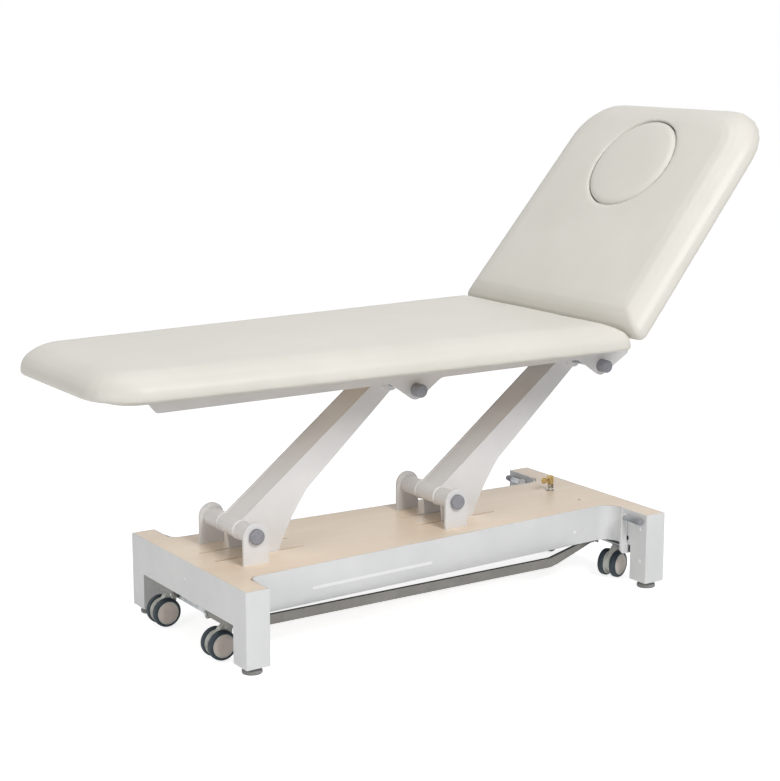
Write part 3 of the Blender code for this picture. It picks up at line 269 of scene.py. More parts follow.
# Zinc plate on cold-rolled steel: a soft blue-grey metal with cloudy spangle.
zinc = wear(surface("zinc_plated_steel", Metallic=1.0), "#8F9396", "#BFC2C4",
            patch_mm=22.0, grit_mm=0.8, rough=(0.3, 0.45), bump=0.08)
sole = [(0.0, 0.0), (0.0215, 0.0), (0.0232, 0.0006), (0.0240, 0.0022), (0.0240, 0.0070), (0.0233, 0.0086),
        (0.0210, 0.0102), (0.0150, 0.0118), (0.0120, 0.0126), (0.0108, 0.0132), (0.0108, 0.0136)]
for corner in corners:
    solid = f"{corner}_levelling_foot"
    spot = middle_of(solid)
    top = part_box(solid)[1][2]
    leg_under = top - STUD_IN_LEG
    stud = [(0.0106, leg_under - 0.0006), (0.0060, leg_under - 0.0004), (0.0060, top), (0.0, top)]
    steps = [sole_rubber] * (len(sole) - 1) + [zinc] * len(stud)
    foot = turned(solid + "_pad", sole + stud, (spot.x, spot.y, 0.0), (0, 0, 1), steps)
    mount(foot, "base", "foot_rubber", solid)

# End panels and aprons
# Folded steel sheet, spot welded and powder coated in a cool light grey. Each end panel forms two
# hollow legs, the aprons close the waisted long sides, and white plugs fill the fixing holes.
SHEETS = ("foot_end_panel", "head_end_panel", "near_apron", "far_apron")
FOOT_WAIST = 0.1985
HEAD_WAIST = 0.1470
LEG_PLUGS_AT = -0.2700
STRIPE_FROM = 0.1755
STRIPE_TO = 0.5319
STRIPE_HALF = 0.0037
STRIPE_UP = 0.1455
STRIPE_FACES = (0.0001, 0.0004)
STRIPE_ARC = 8


def coat(finish, *names):
    """Puts one finish on the whole of each named solid."""
    for name in names:
        mesh = nodes[name].data
        mesh.materials.clear()
        mesh.materials.append(finish)


def soften(*names, width):
    """Breaks the sharp edges of the named solids with a small rounded bevel."""
    for name in names:
        bevel = nodes[name].modifiers.new("broken_edge", "BEVEL")
        bevel.width = width
        bevel.segments = 2
        bevel.limit_method = "ANGLE"
        bevel.angle_limit = math.radians(40)
        bevel.harden_normals = True


# Grey powder coat: even and satin, with the fine orange peel of baked powder.
grey_coat = wear(surface("grey_powder_coat", Coat_Weight=0.08, Coat_Roughness=0.3), "#E1E2E3", "#EBECEC",
                 patch_mm=160.0, grit_mm=1.6, rough=(0.38, 0.48), bump=0.12)
coat(grey_coat, *SHEETS)
soften(*SHEETS, width=0.0012)

# White polythene: waxy, and whiter than the grey coat round it.
plug_white = wear(surface("white_polythene_plug", IOR=1.51), "#EDEDEB", "#F7F7F5",
                  patch_mm=6.0, grit_mm=0.6, rough=(0.32, 0.42), bump=0.05)
shoulder_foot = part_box("foot_end_panel")[1][0]
shoulder_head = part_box("head_end_panel")[0][0]
foot_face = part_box("foot_end_panel")[0][0]
foot_waist = Vector((shoulder_foot, -FOOT_WAIST, 0.0))
head_waist = Vector((shoulder_head, -HEAD_WAIST, 0.0))
apron_way = (head_waist - foot_waist).normalized()
apron_out = Vector((apron_way.y, -apron_way.x, 0.0))
plug_profile = [(0.0052, -0.0004), (0.0052, 0.0005), (0.0046, 0.0012), (0.0030, 0.0017), (0.0, 0.0019)]
for name, place, axis in (
    ("foot_panel_plug", (foot_face, 0.0045, 0.1606), (-1, 0, 0)),
    ("apron_plug", foot_waist + apron_way * 1.0035 + Vector((0, 0, 0.1426)), apron_out),
    ("leg_plug_low", (shoulder_head, LEG_PLUGS_AT, 0.0740), (-1, 0, 0)),
    ("leg_plug_high", (shoulder_head, LEG_PLUGS_AT, 0.1610), (-1, 0, 0)),
):
    mount(turned(name, plug_profile, place, axis, plug_white, facets=32), "base", "cap_plastic")

# White vinyl film: a plain stripe along the near apron, a hair proud of the coat and a little glossier.
stripe_film = wear(surface("white_stripe_film", IOR=1.5), "#F9F9F9", "#FFFFFF",
                   patch_mm=40.0, grit_mm=0.8, rough=(0.28, 0.36), bump=0.04)
outline = []
for middle, start in ((STRIPE_FROM + STRIPE_HALF, math.pi / 2), (STRIPE_TO - STRIPE_HALF, -math.pi / 2)):
    for step in range(STRIPE_ARC + 1):
        spin = start + math.pi * step / STRIPE_ARC
        outline.append((middle + STRIPE_HALF * math.cos(spin), STRIPE_HALF * math.sin(spin)))
shape = bmesh.new()
for lift in STRIPE_FACES:
    start = foot_waist + apron_out * lift + Vector((0, 0, STRIPE_UP))
    rim = [start + apron_way * run + Vector((0, 0, rise)) for run, rise in outline]
    shape.faces.new([shape.verts.new(point) for point in rim])
shape.verts.ensure_lookup_table()
count = len(outline)
for i in range(count):
    j = (i + 1) % count
    shape.faces.new([shape.verts[k] for k in (i, j, count + j, count + i)])
bmesh.ops.recalc_face_normals(shape, faces=shape.faces)
mount(built("apron_stripe", shape, stripe_film), "base", "base_paint")

# Base board
# Birch plywood with a clear satin lacquer, routed to the waisted plan, slotted for the arms
# and dropped inside the panels onto the chassis.
PLY_MM = 1.4
# The figure is about 60 mm wide; the fibres are drawn 1.4 mm wide, coarser than real, so that they show.
FIGURE_PER_METRE = (1.5, 16.0, 16.0)
FIBRES_PER_METRE = (30.0, 700.0, 700.0)


def plywood(name, pale, dark, through, lacquer):
    """Birch plywood: figure and fibres on the faces, dark glue lines between the plies on the edges."""
    made = surface(name, Coat_Weight=lacquer, Coat_Roughness=0.25, IOR=1.5)
    place = node(made, "ShaderNodeTexCoord")
    spot = place.outputs["Object"]
    long_fit = node(made, "ShaderNodeMapping", {"Vector": spot, "Scale": FIGURE_PER_METRE})
    figure = node(made, "ShaderNodeTexNoise",
                  {"Vector": long_fit.outputs[0], "Scale": 1.0, "Detail": 5.0, "Roughness": 0.6,
                   "Distortion": 0.8})
    fibre_fit = node(made, "ShaderNodeMapping", {"Vector": spot, "Scale": FIBRES_PER_METRE})
    fibre = node(made, "ShaderNodeTexNoise",
                 {"Vector": fibre_fit.outputs[0], "Scale": 1.0, "Detail": 2.0, "Roughness": 0.5})
    spread = node(made, "ShaderNodeMapRange", {"Value": figure.outputs[0], "From Min": 0.3, "From Max": 0.7})
    tone = node(made, "ShaderNodeMix",
                {"Factor": spread.outputs[0], COLOUR_A: hue(dark), COLOUR_B: hue(pale)}, data_type="RGBA")
    streak = node(made, "ShaderNodeMapRange",
                  {"Value": fibre.outputs[0], "From Min": 0.35, "From Max": 0.65,
                   "To Min": 0.955, "To Max": 1.0})
    grain = node(made, "ShaderNodeMix",
                 {"Factor": 1.0, COLOUR_A: tone.outputs[COLOUR_OUT], COLOUR_B: streak.outputs[0]},
                 data_type="RGBA", blend_type="MULTIPLY")
    depth = node(made, "ShaderNodeVectorMath", {0: spot, 1: through}, operation="DOT_PRODUCT")
    plies = node(made, "ShaderNodeMath", {0: depth.outputs["Value"], 1: 1000.0 / (2 * PLY_MM)},
                 operation="MULTIPLY")
    swing = node(made, "ShaderNodeMath", {0: plies.outputs[0], 1: 0.5}, operation="PINGPONG")
    glue = node(made, "ShaderNodeMapRange", {"Value": swing.outputs[0], "From Min": 0.18, "From Max": 0.32})
    facing = node(made, "ShaderNodeVectorMath", {0: place.outputs["Normal"], 1: through},
                  operation="DOT_PRODUCT")
    flat = node(made, "ShaderNodeMath", {0: facing.outputs["Value"]}, operation="ABSOLUTE")
    edge = node(made, "ShaderNodeMapRange", {"Value": flat.outputs[0], "From Min": 0.75, "From Max": 0.45})
    line = node(made, "ShaderNodeMath", {0: edge.outputs[0], 1: glue.outputs[0]}, operation="MULTIPLY")
    soft = node(made, "ShaderNodeMath", {0: line.outputs[0], 1: 0.55}, operation="MULTIPLY")
    whole = node(made, "ShaderNodeMix",
                 {"Factor": soft.outputs[0], COLOUR_A: grain.outputs[COLOUR_OUT], COLOUR_B: hue("#B98F5E")},
                 data_type="RGBA")
    rough = node(made, "ShaderNodeMapRange", {"Value": figure.outputs[0], "To Min": 0.34, "To Max": 0.52})
    relief = node(made, "ShaderNodeBump", {"Height": fibre.outputs[0], "Strength": 0.12, "Distance": 0.0003})
    feed(made, {"Base Color": whole.outputs[COLOUR_OUT], "Roughness": rough.outputs[0],
                "Normal": relief.outputs[0]})
    return made


# Lacquered birch: pale straw with a quiet long figure under a satin film.
coat(plywood("lacquered_birch_board", "#FFF1DE", "#FBE6CE", through=(0, 0, 1), lacquer=0.18), "base_board")
soften("base_board", width=0.0008)

# Chassis rails, tie and foot bar hangers
# Cold-rolled square tube, a cross tie for the drive and two folded hangers, all zinc plated
# and screwed up under the board between the end panels.
FOLDED = ("actuator_tie", "foot_bar_hanger_foot", "foot_bar_hanger_head")
coat(zinc, "near_chassis_rail", "far_chassis_rail", *FOLDED)
soften(*FOLDED, width=0.0006)

# Pivot plates and pivot caps
# Laser-cut plates with round tops, welded to the chassis and coated off-white like the arms; moulded
# nylon caps snap over the ends of all four pivot shafts.
PIVOT_PLATES = [f"{corner}_pivot_plate" for corner in corners]
SHAFT_RADIUS = 0.0100
# White powder coat: a shade warmer than the panels' grey and a touch glossier, with the same orange peel.
white_coat = wear(surface("white_powder_coat", Coat_Weight=0.1, Coat_Roughness=0.28), "#DFDEDE", "#E9E8E8",
                  patch_mm=150.0, grit_mm=1.6, rough=(0.34, 0.44), bump=0.10)
coat(white_coat, *PIVOT_PLATES)
soften(*PIVOT_PLATES, width=0.0008)
# Grey nylon: moulded, satin, with a faint mottle.
cap_nylon = wear(surface("grey_cap_nylon", IOR=1.53), "#84858C", "#96979E",
                 patch_mm=14.0, grit_mm=0.9, rough=(0.40, 0.52), bump=0.15)
for end in ends:
    for rank, body, rim, deep in (("lower", "base", 0.0190, 0.0117), ("upper", "top_frame", 0.0165, 0.0277)):
        solid = f"{end}_{rank}_shaft"
        spot = middle_of(solid)
        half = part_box(solid)[1][1] - spot.y
        skirt = half - deep
        capped = [(SHAFT_RADIUS, skirt), (rim, skirt), (rim, half - 0.0042), (rim - 0.0004, half - 0.0026),
                  (rim - 0.0014, half - 0.0010), (rim - 0.0032, half - 0.0002), (rim - 0.0060, half),
                  (0.0, half)]
        shaft = [(radius, -height) for radius, height in capped][::-1] + capped
        steps = [cap_nylon] * (len(capped) - 1)
        piece = turned(solid + "_capped", shaft, spot, (0, 1, 0), steps + [zinc] + steps)
        mount(piece, body, "cap_plastic", solid)

# Lifting arms
# Two parallel arms, each welded from two cheeks, a bent web and a cross tube, with a fillet weld where
# the tube passes each cheek, then powder coated off-white.
TUBE_OUT = 0.0230
CHEEK_FACE = 0.0425
coat(white_coat, "foot_arm", "head_arm")
soften("foot_arm", "head_arm", width=0.0010)
bead = [(TUBE_OUT - 0.0005, 0.0030), (TUBE_OUT + 0.0006, 0.0027), (TUBE_OUT + 0.0017, 0.0018),
        (TUBE_OUT + 0.0024, 0.0006), (TUBE_OUT + 0.0024, -0.0003)]
for body, joint in (("foot_arm", "foot_arm_swing"), ("head_arm", "lift")):
    for side, way in (("near", -1), ("far", 1)):
        spot = pivots[joint] + Vector((0, way * CHEEK_FACE, 0))
        mount(turned(f"{side}_{body}_weld", bead, spot, (0, way, 0), white_coat), body, "arm_paint")

# Linear actuator, control box and gas spring
# Black moulded and painted housings under the board and the backrest, with bright push rods that end
# in a slotted fork and a slotted eye.
# Black glass-filled nylon: near black, satin, with a moulded grain.
housing = wear(surface("black_moulded_housing"), "#2A2C2F", "#3B3D40",
               patch_mm=26.0, grit_mm=1.0, rough=(0.45, 0.6), bump=0.25)
coat(housing, "actuator", "control_box", "gas_cylinder")
soften("control_box", width=0.0015)
# Ground steel: bright, with fine turning marks across the rod that are drawn coarser than real.
ground_steel = wear(surface("ground_steel_rod", Metallic=1.0), "#AFB1B3", "#CCCED0",
                    patch_mm=40.0, grit_mm=0.9, rough=(0.16, 0.28), bump=0.06, stretch=(4.0, 1.0, 1.0))
coat(ground_steel, "actuator_rod", "gas_rod")
soften("actuator_rod", "gas_rod", width=0.0005)

# Key switch
# A small lock on the board that disables the drive: a nickel-plated barrel under a square brass body,
# with a round escutcheon on its side and a flat key in it.
HEAD_HALF = 0.0070
HEAD_CHAMFER = 0.0012
HEAD_UP = 0.0176
ESCUTCHEON_OUT = 0.0048
ESCUTCHEON_UP = 0.0125
# Brass: warm yellow metal with finger-dulled patches.
lock_brass = wear(surface("turned_lock_brass", Metallic=1.0), "#A98F58", "#D2B983",
                  patch_mm=8.0, grit_mm=0.5, rough=(0.24, 0.38), bump=0.08)
# Nickel plate: neutral bright metal, slightly clouded.
nickel = wear(surface("clouded_nickel_plate", Metallic=1.0), "#9B9890", "#CFCBC2",
              patch_mm=5.0, grit_mm=0.5, rough=(0.18, 0.3), bump=0.05)
spot = middle_of("key_switch")
lock_low, lock_high = (height for x, y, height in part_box("key_switch"))
barrel = [(0.0, 0.0), (0.0110, 0.0), (0.0112, 0.0006), (0.0112, 0.0030), (0.0104, 0.0038), (0.0080, 0.0042),
          (0.0072, 0.0060), (0.0072, 0.0090), (0.0066, 0.0096), (0.0066, 0.0112), (0.0072, 0.0118),
          (0.0072, 0.0170), (0.0060, 0.0180), (0.0, 0.0180)]
lock = turned("lock_barrel", barrel, (spot.x, spot.y, lock_low), (0, 0, 1), nickel)
mount(lock, "base", "steel", "key_switch")
shape = bmesh.new()
loops = []
for rise, half in (
    (lock_low + HEAD_UP, HEAD_HALF - HEAD_CHAMFER),
    (lock_low + HEAD_UP + HEAD_CHAMFER, HEAD_HALF),
    (lock_high - HEAD_CHAMFER, HEAD_HALF),
    (lock_high, HEAD_HALF - HEAD_CHAMFER),
):
    cut = half - HEAD_CHAMFER
    square = ((-half, -cut), (-cut, -half), (cut, -half), (half, -cut),
              (half, cut), (cut, half), (-cut, half), (-half, cut))
    loops.append([shape.verts.new((spot.x + x, spot.y + y, rise)) for x, y in square])
for one, two in zip(loops, loops[1:]):
    for i in range(len(one)):
        j = (i + 1) % len(one)
        shape.faces.new((one[i], one[j], two[j], two[i]))
shape.faces.new(loops[0][::-1])
shape.faces.new(loops[-1])
mount(built("lock_head", shape, lock_brass), "base", "brass")
rosette = [(0.0, 0.0), (0.0058, 0.0), (0.0062, 0.0008), (0.0062, 0.0022), (0.0055, 0.0030), (0.0040, 0.0030),
           (0.0036, 0.0024), (0.0, 0.0024)]
place = (spot.x + ESCUTCHEON_OUT, spot.y - ESCUTCHEON_OUT, lock_low + ESCUTCHEON_UP)
mount(turned("lock_escutcheon", rosette, place, (1, -1, 0), nickel, facets=32), "base", "steel")
coat(lock_brass, "key")
soften("key", width=0.0003)

# Foot switch bars
# Bent flat bar along each long side, enamelled warm grey, with a ribbed black rubber tread bonded
# along its top edge; pressing either bar with a foot raises or lowers the couch.
RIB_MM = 4.0
# A wave pattern of scale 1 has a band every 314 mm.
WAVE_MM = 314.0
FACES_UP = 0.8


def coat_two(solid, main, other, picked):
    """Puts one finish on a solid and another on the faces that are picked."""
    mesh = nodes[solid].data
    mesh.materials.clear()
    mesh.materials.append(main)
    mesh.materials.append(other)
    for face in mesh.polygons:
        face.material_index = 1 if picked(face) else 0


# Stoved enamel: warm grey, even, with a soft gloss.
bar_enamel = wear(surface("warm_grey_bar_enamel", Coat_Weight=0.1, Coat_Roughness=0.3), "#787671", "#8A8883",
                  patch_mm=60.0, grit_mm=1.4, rough=(0.4, 0.52), bump=0.12)
# Black rubber tread: dull, with cross ribs every 4 mm.
tread_rubber = wear(surface("ribbed_tread_rubber", Specular_IOR_Level=0.35), "#1A1A1B", "#272728",
                    patch_mm=14.0, grit_mm=1.2, rough=(0.66, 0.8))
place = node(tread_rubber, "ShaderNodeTexCoord")
ribs = node(tread_rubber, "ShaderNodeTexWave", {"Vector": place.outputs["Object"], "Scale": WAVE_MM / RIB_MM})
relief = node(tread_rubber, "ShaderNodeBump",
              {"Height": ribs.outputs["Fac"], "Strength": 0.6, "Distance": 0.0008})
feed(tread_rubber, {"Normal": relief.outputs[0]})
for side in sides:
    coat_two(f"{side}_foot_bar", bar_enamel, tread_rubber, lambda face: face.normal.z > FACES_UP)
    soften(f"{side}_foot_bar", width=0.0010)

# Castor levers
# Pedal levers keyed to the zinc-plated lift shaft at the head end: off-white flat bar with a chromed peg
# and a nylon tip, a rubber buffer on the panel behind each and a dark collar where the shaft enters the leg.
PEG_FROM = 0.2228
BUFFER_OUT = 0.2200
BUFFER_UP = 0.1270
COLLAR_OUT = 0.2238


def on_peg(face):
    """Whether a face of a lever belongs to its peg."""
    return abs(face.center.y) > PEG_FROM


# Dark chrome: mirror-like and barely clouded, toned down because the room it mirrors is all white.
chrome = wear(surface("dark_chrome_plate", Metallic=1.0), "#8F9397", "#B4B8BB",
              patch_mm=30.0, grit_mm=0.6, rough=(0.10, 0.18), bump=0.03)
# Black buffer rubber: soft and dull.
buffer_rubber = wear(surface("black_buffer_rubber", Specular_IOR_Level=0.35), "#1C1C1D", "#2A2A2B",
                     patch_mm=5.0, grit_mm=0.6, rough=(0.62, 0.76), bump=0.3)
coat(zinc, "lift_shaft")
shaft_spot = middle_of("lift_shaft")
sleeve = [(0.0069, -0.014), (0.0080, -0.014), (0.0082, -0.0132), (0.0082, -0.0040), (0.0078, 0.0020),
          (0.0070, 0.0054), (0.0056, 0.0064), (0.0, 0.0066)]
button = [(0.0060, 0.0), (0.0060, 0.0016), (0.0054, 0.0028), (0.0040, 0.0034), (0.0, 0.0036)]
collar = [(0.0061, 0.0), (0.0100, 0.0), (0.0106, 0.0006), (0.0106, 0.0068), (0.0100, 0.0074),
          (0.0061, 0.0074), (0.0061, 0.0)]
for side, way in (("near", -1), ("far", 1)):
    solid = f"{side}_castor_lever"
    coat_two(solid, white_coat, chrome, on_peg)
    soften(solid, width=0.0008)
    low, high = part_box(solid)
    tip = high[1] if way > 0 else -low[1]
    peg = [face.center for face in nodes[solid].data.polygons if on_peg(face)]
    peg_x = sum(center.x for center in peg) / len(peg)
    peg_z = sum(center.z for center in peg) / len(peg)
    piece = turned(f"{side}_peg_tip", sleeve, (peg_x, way * tip, peg_z), (0, way, 0), cap_nylon)
    mount(piece, "castor_lift", "cap_plastic")
    place = (shoulder_head, way * BUFFER_OUT, BUFFER_UP)
    piece = turned(f"{side}_lever_buffer", button, place, (-1, 0, 0), buffer_rubber, facets=32)
    mount(piece, "base", "foot_rubber")
    place = (shaft_spot.x, way * COLLAR_OUT, shaft_spot.z)
    piece = turned(f"{side}_shaft_collar", collar, place, (0, way, 0), housing)
    mount(piece, "castor_lift", "dark_plastic")

# Castors
# Twin-wheel castors: pale moulded housings on zinc stems, and wheels with soft slate treads round smooth
# taupe cover discs. Two zinc-plated beams lower all four to the floor for moving the couch.
STEM_FROM = 0.0905
HEAD_CASTORS_TURN = math.radians(18.0)
coat(zinc, "foot_castor_beam", "head_castor_beam")
soften("foot_castor_beam", "head_castor_beam", width=0.0006)
# Pale grey nylon: moulded, satin, slightly green.
fork_nylon = wear(surface("pale_fork_nylon", IOR=1.53), "#CFD0C9", "#DFE0DA",
                  patch_mm=16.0, grit_mm=0.9, rough=(0.40, 0.54), bump=0.18)
# Taupe ABS discs: smooth and slightly glossy, so they pick up soft reflections.
disc_plastic = wear(surface("taupe_disc_plastic", IOR=1.54), "#DCCEC4", "#EADFD6",
                    patch_mm=24.0, grit_mm=0.9, rough=(0.28, 0.38), bump=0.08)
# Slate polyurethane tread: dark blue-grey, matt, with a scuffed bloom.
slate_tread = wear(surface("slate_tread_urethane", Specular_IOR_Level=0.4), "#283239", "#3A464E",
                   patch_mm=12.0, grit_mm=0.8, rough=(0.5, 0.66), bump=0.25)
half_wheel = [(0.0042, 0.0092), (0.0300, 0.0092), (0.0318, 0.0098), (0.0345, 0.0106), (0.0357, 0.0122),
              (0.0360, 0.0145), (0.0360, 0.0205), (0.0356, 0.0232), (0.0344, 0.0254), (0.0322, 0.0268),
              (0.0298, 0.0272), (0.0286, 0.0268), (0.0283, 0.0260), (0.0280, 0.0268), (0.0270, 0.0272),
              (0.0260, 0.0270), (0.0257, 0.0264), (0.0254, 0.0269), (0.0200, 0.0276), (0.0100, 0.0279),
              (0.0, 0.0280)]
twin_wheels = [(radius, -height) for radius, height in half_wheel][::-1] + half_wheel
half_finish = [fork_nylon] * 2 + [slate_tread] * 10 + [fork_nylon] * 4 + [disc_plastic] * 4
wheel_finish = half_finish[::-1] + [zinc] + half_finish
for corner in corners:
    fork = f"{corner}_castor_fork"
    coat_two(fork, fork_nylon, zinc, lambda face: face.center.z > STEM_FROM)
    soften(fork, width=0.0015)
    solid = f"{corner}_castor_wheels"
    swivel = HEAD_CASTORS_TURN if "head" in corner else 0.0
    axle = Vector((-math.sin(swivel), math.cos(swivel), 0.0))
    piece = turned(f"{corner}_twin_wheels", twin_wheels, middle_of(solid), axle, wheel_finish, facets=64)
    mount(piece, solid, "tyre_rubber", solid)

# Side rails, cross tubes and backrest hinge
# Laser-cut side plates with folded flanges and hinge lugs, welded to two square tubes; two knuckle plates
# and a tube carry the backrest on a zinc-plated rod. All but the rod are coated off-white like the arms.
TOP_FRAME = ("near_side_rail", "far_side_rail", "foot_cross_tube", "head_cross_tube")
BACK_FRAME = ("near_back_hinge", "far_back_hinge", "backrest_cross_tube")
coat(white_coat, *TOP_FRAME, *BACK_FRAME)
soften(*TOP_FRAME, width=0.0010)
soften(*BACK_FRAME, width=0.0006)
coat(zinc, "hinge_rod")

# Boards under the cushions
# Birch plywood that carries the foam, raw underneath; the backrest's board leans with it and has
# the same round hole.
hinge = pivots["backrest_tilt"]
back_out = Vector(next(joint["axis"] for joint in frame["joints"] if joint["name"] == "face_plug_lift"))
back_out.normalize()
back_up = Vector((back_out.z, 0.0, -back_out.x))
# Raw birch: a little darker and duller than the lacquered board.
for board, wood, through in (
    ("leg_board", "raw_birch_leg_board", (0, 0, 1)),
    ("backrest_board", "raw_birch_back_board", tuple(back_out)),
):
    coat(plywood(wood, "#EAD5B8", "#DCC29F", through, lacquer=0.0), board)

# Cushion covers, underneath
# The vinyl of each cover is drawn round the edge of its board and stapled underneath, with small
# puckers where it turns the corners.
EDGE_STEP = 0.014
# The hem's section: distance outside the board's edge, height over its upper face and share of the puckers.
HEM = ((0.0575, 0.0001, 0.0), (0.030, -0.0003, 0.0), (0.0040, -0.0007, 0.0), (0.0014, -0.0028, 0.0),
       (0.0011, -0.0122, 0.0), (0.0004, -0.0156, 0.0), (-0.0100, -0.0166, 0.4), (-0.0290, -0.0164, 1.0))
HEM_AT_HINGE = 0.0380
FACES_HINGE = 0.5
HEM_LOW = -0.0166
PUCKER_WIDE = 0.0035
PUCKER_DEEP = 0.0010
PUCKER_PER_BEND = 4.0
PUCKER_BEAT = 2.4
COVER_THICK = 0.0008
STAPLE_EVERY = 4
STAPLE_IN = 0.0185
STAPLE_LEAN = 0.35
STAPLE_BEAT = 1.7
# A staple's crown: run along its wire, drop under the hem and half width.
STAPLE = ((-0.0052, 0.0000, 0.0004), (-0.0048, 0.0009, 0.0005), (0.0048, 0.0009, 0.0005),
          (0.0052, 0.0000, 0.0004))
GRAIN_STIR = 0.0012


def vinyl_grain(finish, cell_mm, stir_mm, slow_mm, strength):
    """Adds an embossed leather-like grain and the slow unevenness of foam under a tight cover."""
    spot = node(finish, "ShaderNodeTexCoord").outputs["Object"]
    stir = node(finish, "ShaderNodeTexNoise", {"Vector": spot, "Scale": 1000.0 / stir_mm, "Detail": 1.0})
    push = node(finish, "ShaderNodeVectorMath", {0: stir.outputs["Color"], 1: (GRAIN_STIR,) * 3},
                operation="MULTIPLY")
    moved = node(finish, "ShaderNodeVectorMath", {0: spot, 1: push.outputs[0]}, operation="ADD")
    cells = node(finish, "ShaderNodeTexVoronoi", {"Vector": moved.outputs[0], "Scale": 1000.0 / cell_mm},
                 feature="SMOOTH_F1")
    emboss = node(finish, "ShaderNodeBump",
                  {"Height": cells.outputs["Distance"], "Strength": strength, "Distance": 0.0004},
                  invert=True)
    slow = node(finish, "ShaderNodeTexNoise", {"Vector": spot, "Scale": 1000.0 / slow_mm, "Detail": 1.0})
    give = node(finish, "ShaderNodeBump",
                {"Height": slow.outputs[0], "Strength": 0.16, "Distance": 0.006, "Normal": emboss.outputs[0]})
    feed(finish, {"Normal": give.outputs[0]})


# Upholstery vinyl: warm off-white, satin, with a fine embossed grain drawn a little coarser than real.
vinyl = wear(surface("cream_upholstery_vinyl", IOR=1.53, Sheen_Weight=0.04, Sheen_Roughness=0.5),
             "#D8D5CC", "#E0DCD4", patch_mm=240.0, grit_mm=1.8, rough=(0.42, 0.52))
vinyl_grain(vinyl, cell_mm=1.7, stir_mm=5.0, slow_mm=170.0, strength=0.16)
# Staple wire: bright galvanised steel.
staple_wire = wear(surface("galvanised_staple_wire", Metallic=1.0), "#A9ABAD", "#C6C8CA",
                   patch_mm=8.0, grit_mm=0.5, rough=(0.25, 0.36), bump=0.05)


def board_edge(board, origin, along):
    """Points round a board's edge in its own plane, a short step apart, and the way out at each."""
    flat = [Vector(((v.co - origin).dot(along), v.co.y)) for v in nodes[board].data.vertices]
    ring = [flat[i] for i in convex_hull_2d(flat)]
    points = []
    for here, there in zip(ring, ring[1:] + ring[:1]):
        parts = max(1, math.ceil((there - here).length / EDGE_STEP))
        points += [here.lerp(there, k / parts) for k in range(parts)]
    count = len(points)
    area = sum(points[i - 1].x * points[i].y - points[i].x * points[i - 1].y for i in range(count))
    turn = 1.0 if area > 0 else -1.0
    ways = []
    for i in range(count):
        way = (points[(i + 1) % count] - points[i - 1]).normalized()
        ways.append(Vector((way.y, -way.x)) * turn)
    return points, ways


def hem(board, name, body, origin, along, out, hinge_way):
    """Strip of cover drawn from a cushion's lower edge round its board, stapled along its inner edge."""
    points, ways = board_edge(board, origin, along)
    count = len(points)
    top = max((v.co - origin).dot(out) for v in nodes[board].data.vertices)

    def placed(point, height):
        """Point of the board's plane, raised from the board's upper face."""
        return origin + along * point.x + Vector((0, point.y, 0)) + out * (top + height)

    bends = [max(abs(ways[(i + k) % count].angle(ways[(i + k - 2) % count])) for k in range(-2, 3))
             for i in range(count)]
    strip = bmesh.new()
    rows = []
    for reach, rise, loose in HEM:
        row = []
        for i, point in enumerate(points):
            pucker = min(1.0, bends[i] * PUCKER_PER_BEND) * math.sin(i * PUCKER_BEAT)
            room = HEM_AT_HINGE if ways[i].x * hinge_way > FACES_HINGE else reach
            spot = point + ways[i] * (min(reach, room) + PUCKER_WIDE * loose * pucker)
            row.append(strip.verts.new(placed(spot, rise - PUCKER_DEEP * loose * abs(pucker))))
        rows.append(row)
    for one, two in zip(rows, rows[1:]):
        for i in range(count):
            j = (i + 1) % count
            strip.faces.new((one[i], one[j], two[j], two[i])).smooth = True
    bmesh.ops.recalc_face_normals(strip, faces=strip.faces)
    piece = built(name, strip, vinyl)
    backing = piece.modifiers.new("cloth_backing", "SOLIDIFY")
    backing.thickness = COVER_THICK
    backing.offset = 0.0
    mount(piece, body, "vinyl")

    wires = bmesh.new()
    for i in range(0, count, STAPLE_EVERY):
        lean = STAPLE_LEAN * math.sin(i * STAPLE_BEAT)
        line = Vector((-ways[i].y, ways[i].x))
        line = line * math.cos(lean) + ways[i] * math.sin(lean)
        spot = points[i] - ways[i] * STAPLE_IN
        stations = []
        for run, drop, half in STAPLE:
            middle = spot + line * run
            wide = Vector((-line.y, line.x)) * half
            section = ((middle - wide, drop), (middle + wide, drop), (middle + wide, drop + half),
                       (middle - wide, drop + half))
            stations.append([wires.verts.new(placed(point, HEM_LOW - under)) for point, under in section])
        for one, two in zip(stations, stations[1:]):
            for k in range(4):
                wires.faces.new((one[k], one[(k + 1) % 4], two[(k + 1) % 4], two[k]))
        wires.faces.new(stations[0][::-1])
        wires.faces.new(stations[-1])
    bmesh.ops.recalc_face_normals(wires, faces=wires.faces)
    mount(built(name + "_staples", wires, staple_wire), body, "steel")


hem("leg_board", "leg_cover_hem", "top_frame", Vector((0, 0, 0)), Vector((1, 0, 0)), Vector((0, 0, 1)), 1)
hem("backrest_board", "back_cover_hem", "backrest", hinge, back_up, back_out, -1)

# Cushions
# Foam glued to the boards under off-white upholstery vinyl, drawn tight over broad rolled edges without a
# visible seam. The cover is swollen by the foam's own pressure in a short cloth simulation.
LEG_VOXEL = 0.0062
BACK_VOXEL = 0.0052
SAME_POINT = 0.00002
SNAP_SHARE = 0.6
FOAM_PRESSURE = 4.0
COVER_STIFFNESS = 25.0
COVER_BENDING = 2.0
SWELL_FRAMES = 20
SMOOTHINGS = 40
DRAWN_IN = 0.0006
MOST_RISE = 0.006
PROUD_OF_SOLID = 0.0008
STAPLED_BAND = 0.006
PLUG_AT = 0.4994
HOLE_RADIUS = 0.1405
HOLE_FLARE = 0.0090
FLARE_SPARE = 0.001
PAD_BACK = -0.0245
PAD_FRONT = 0.0405
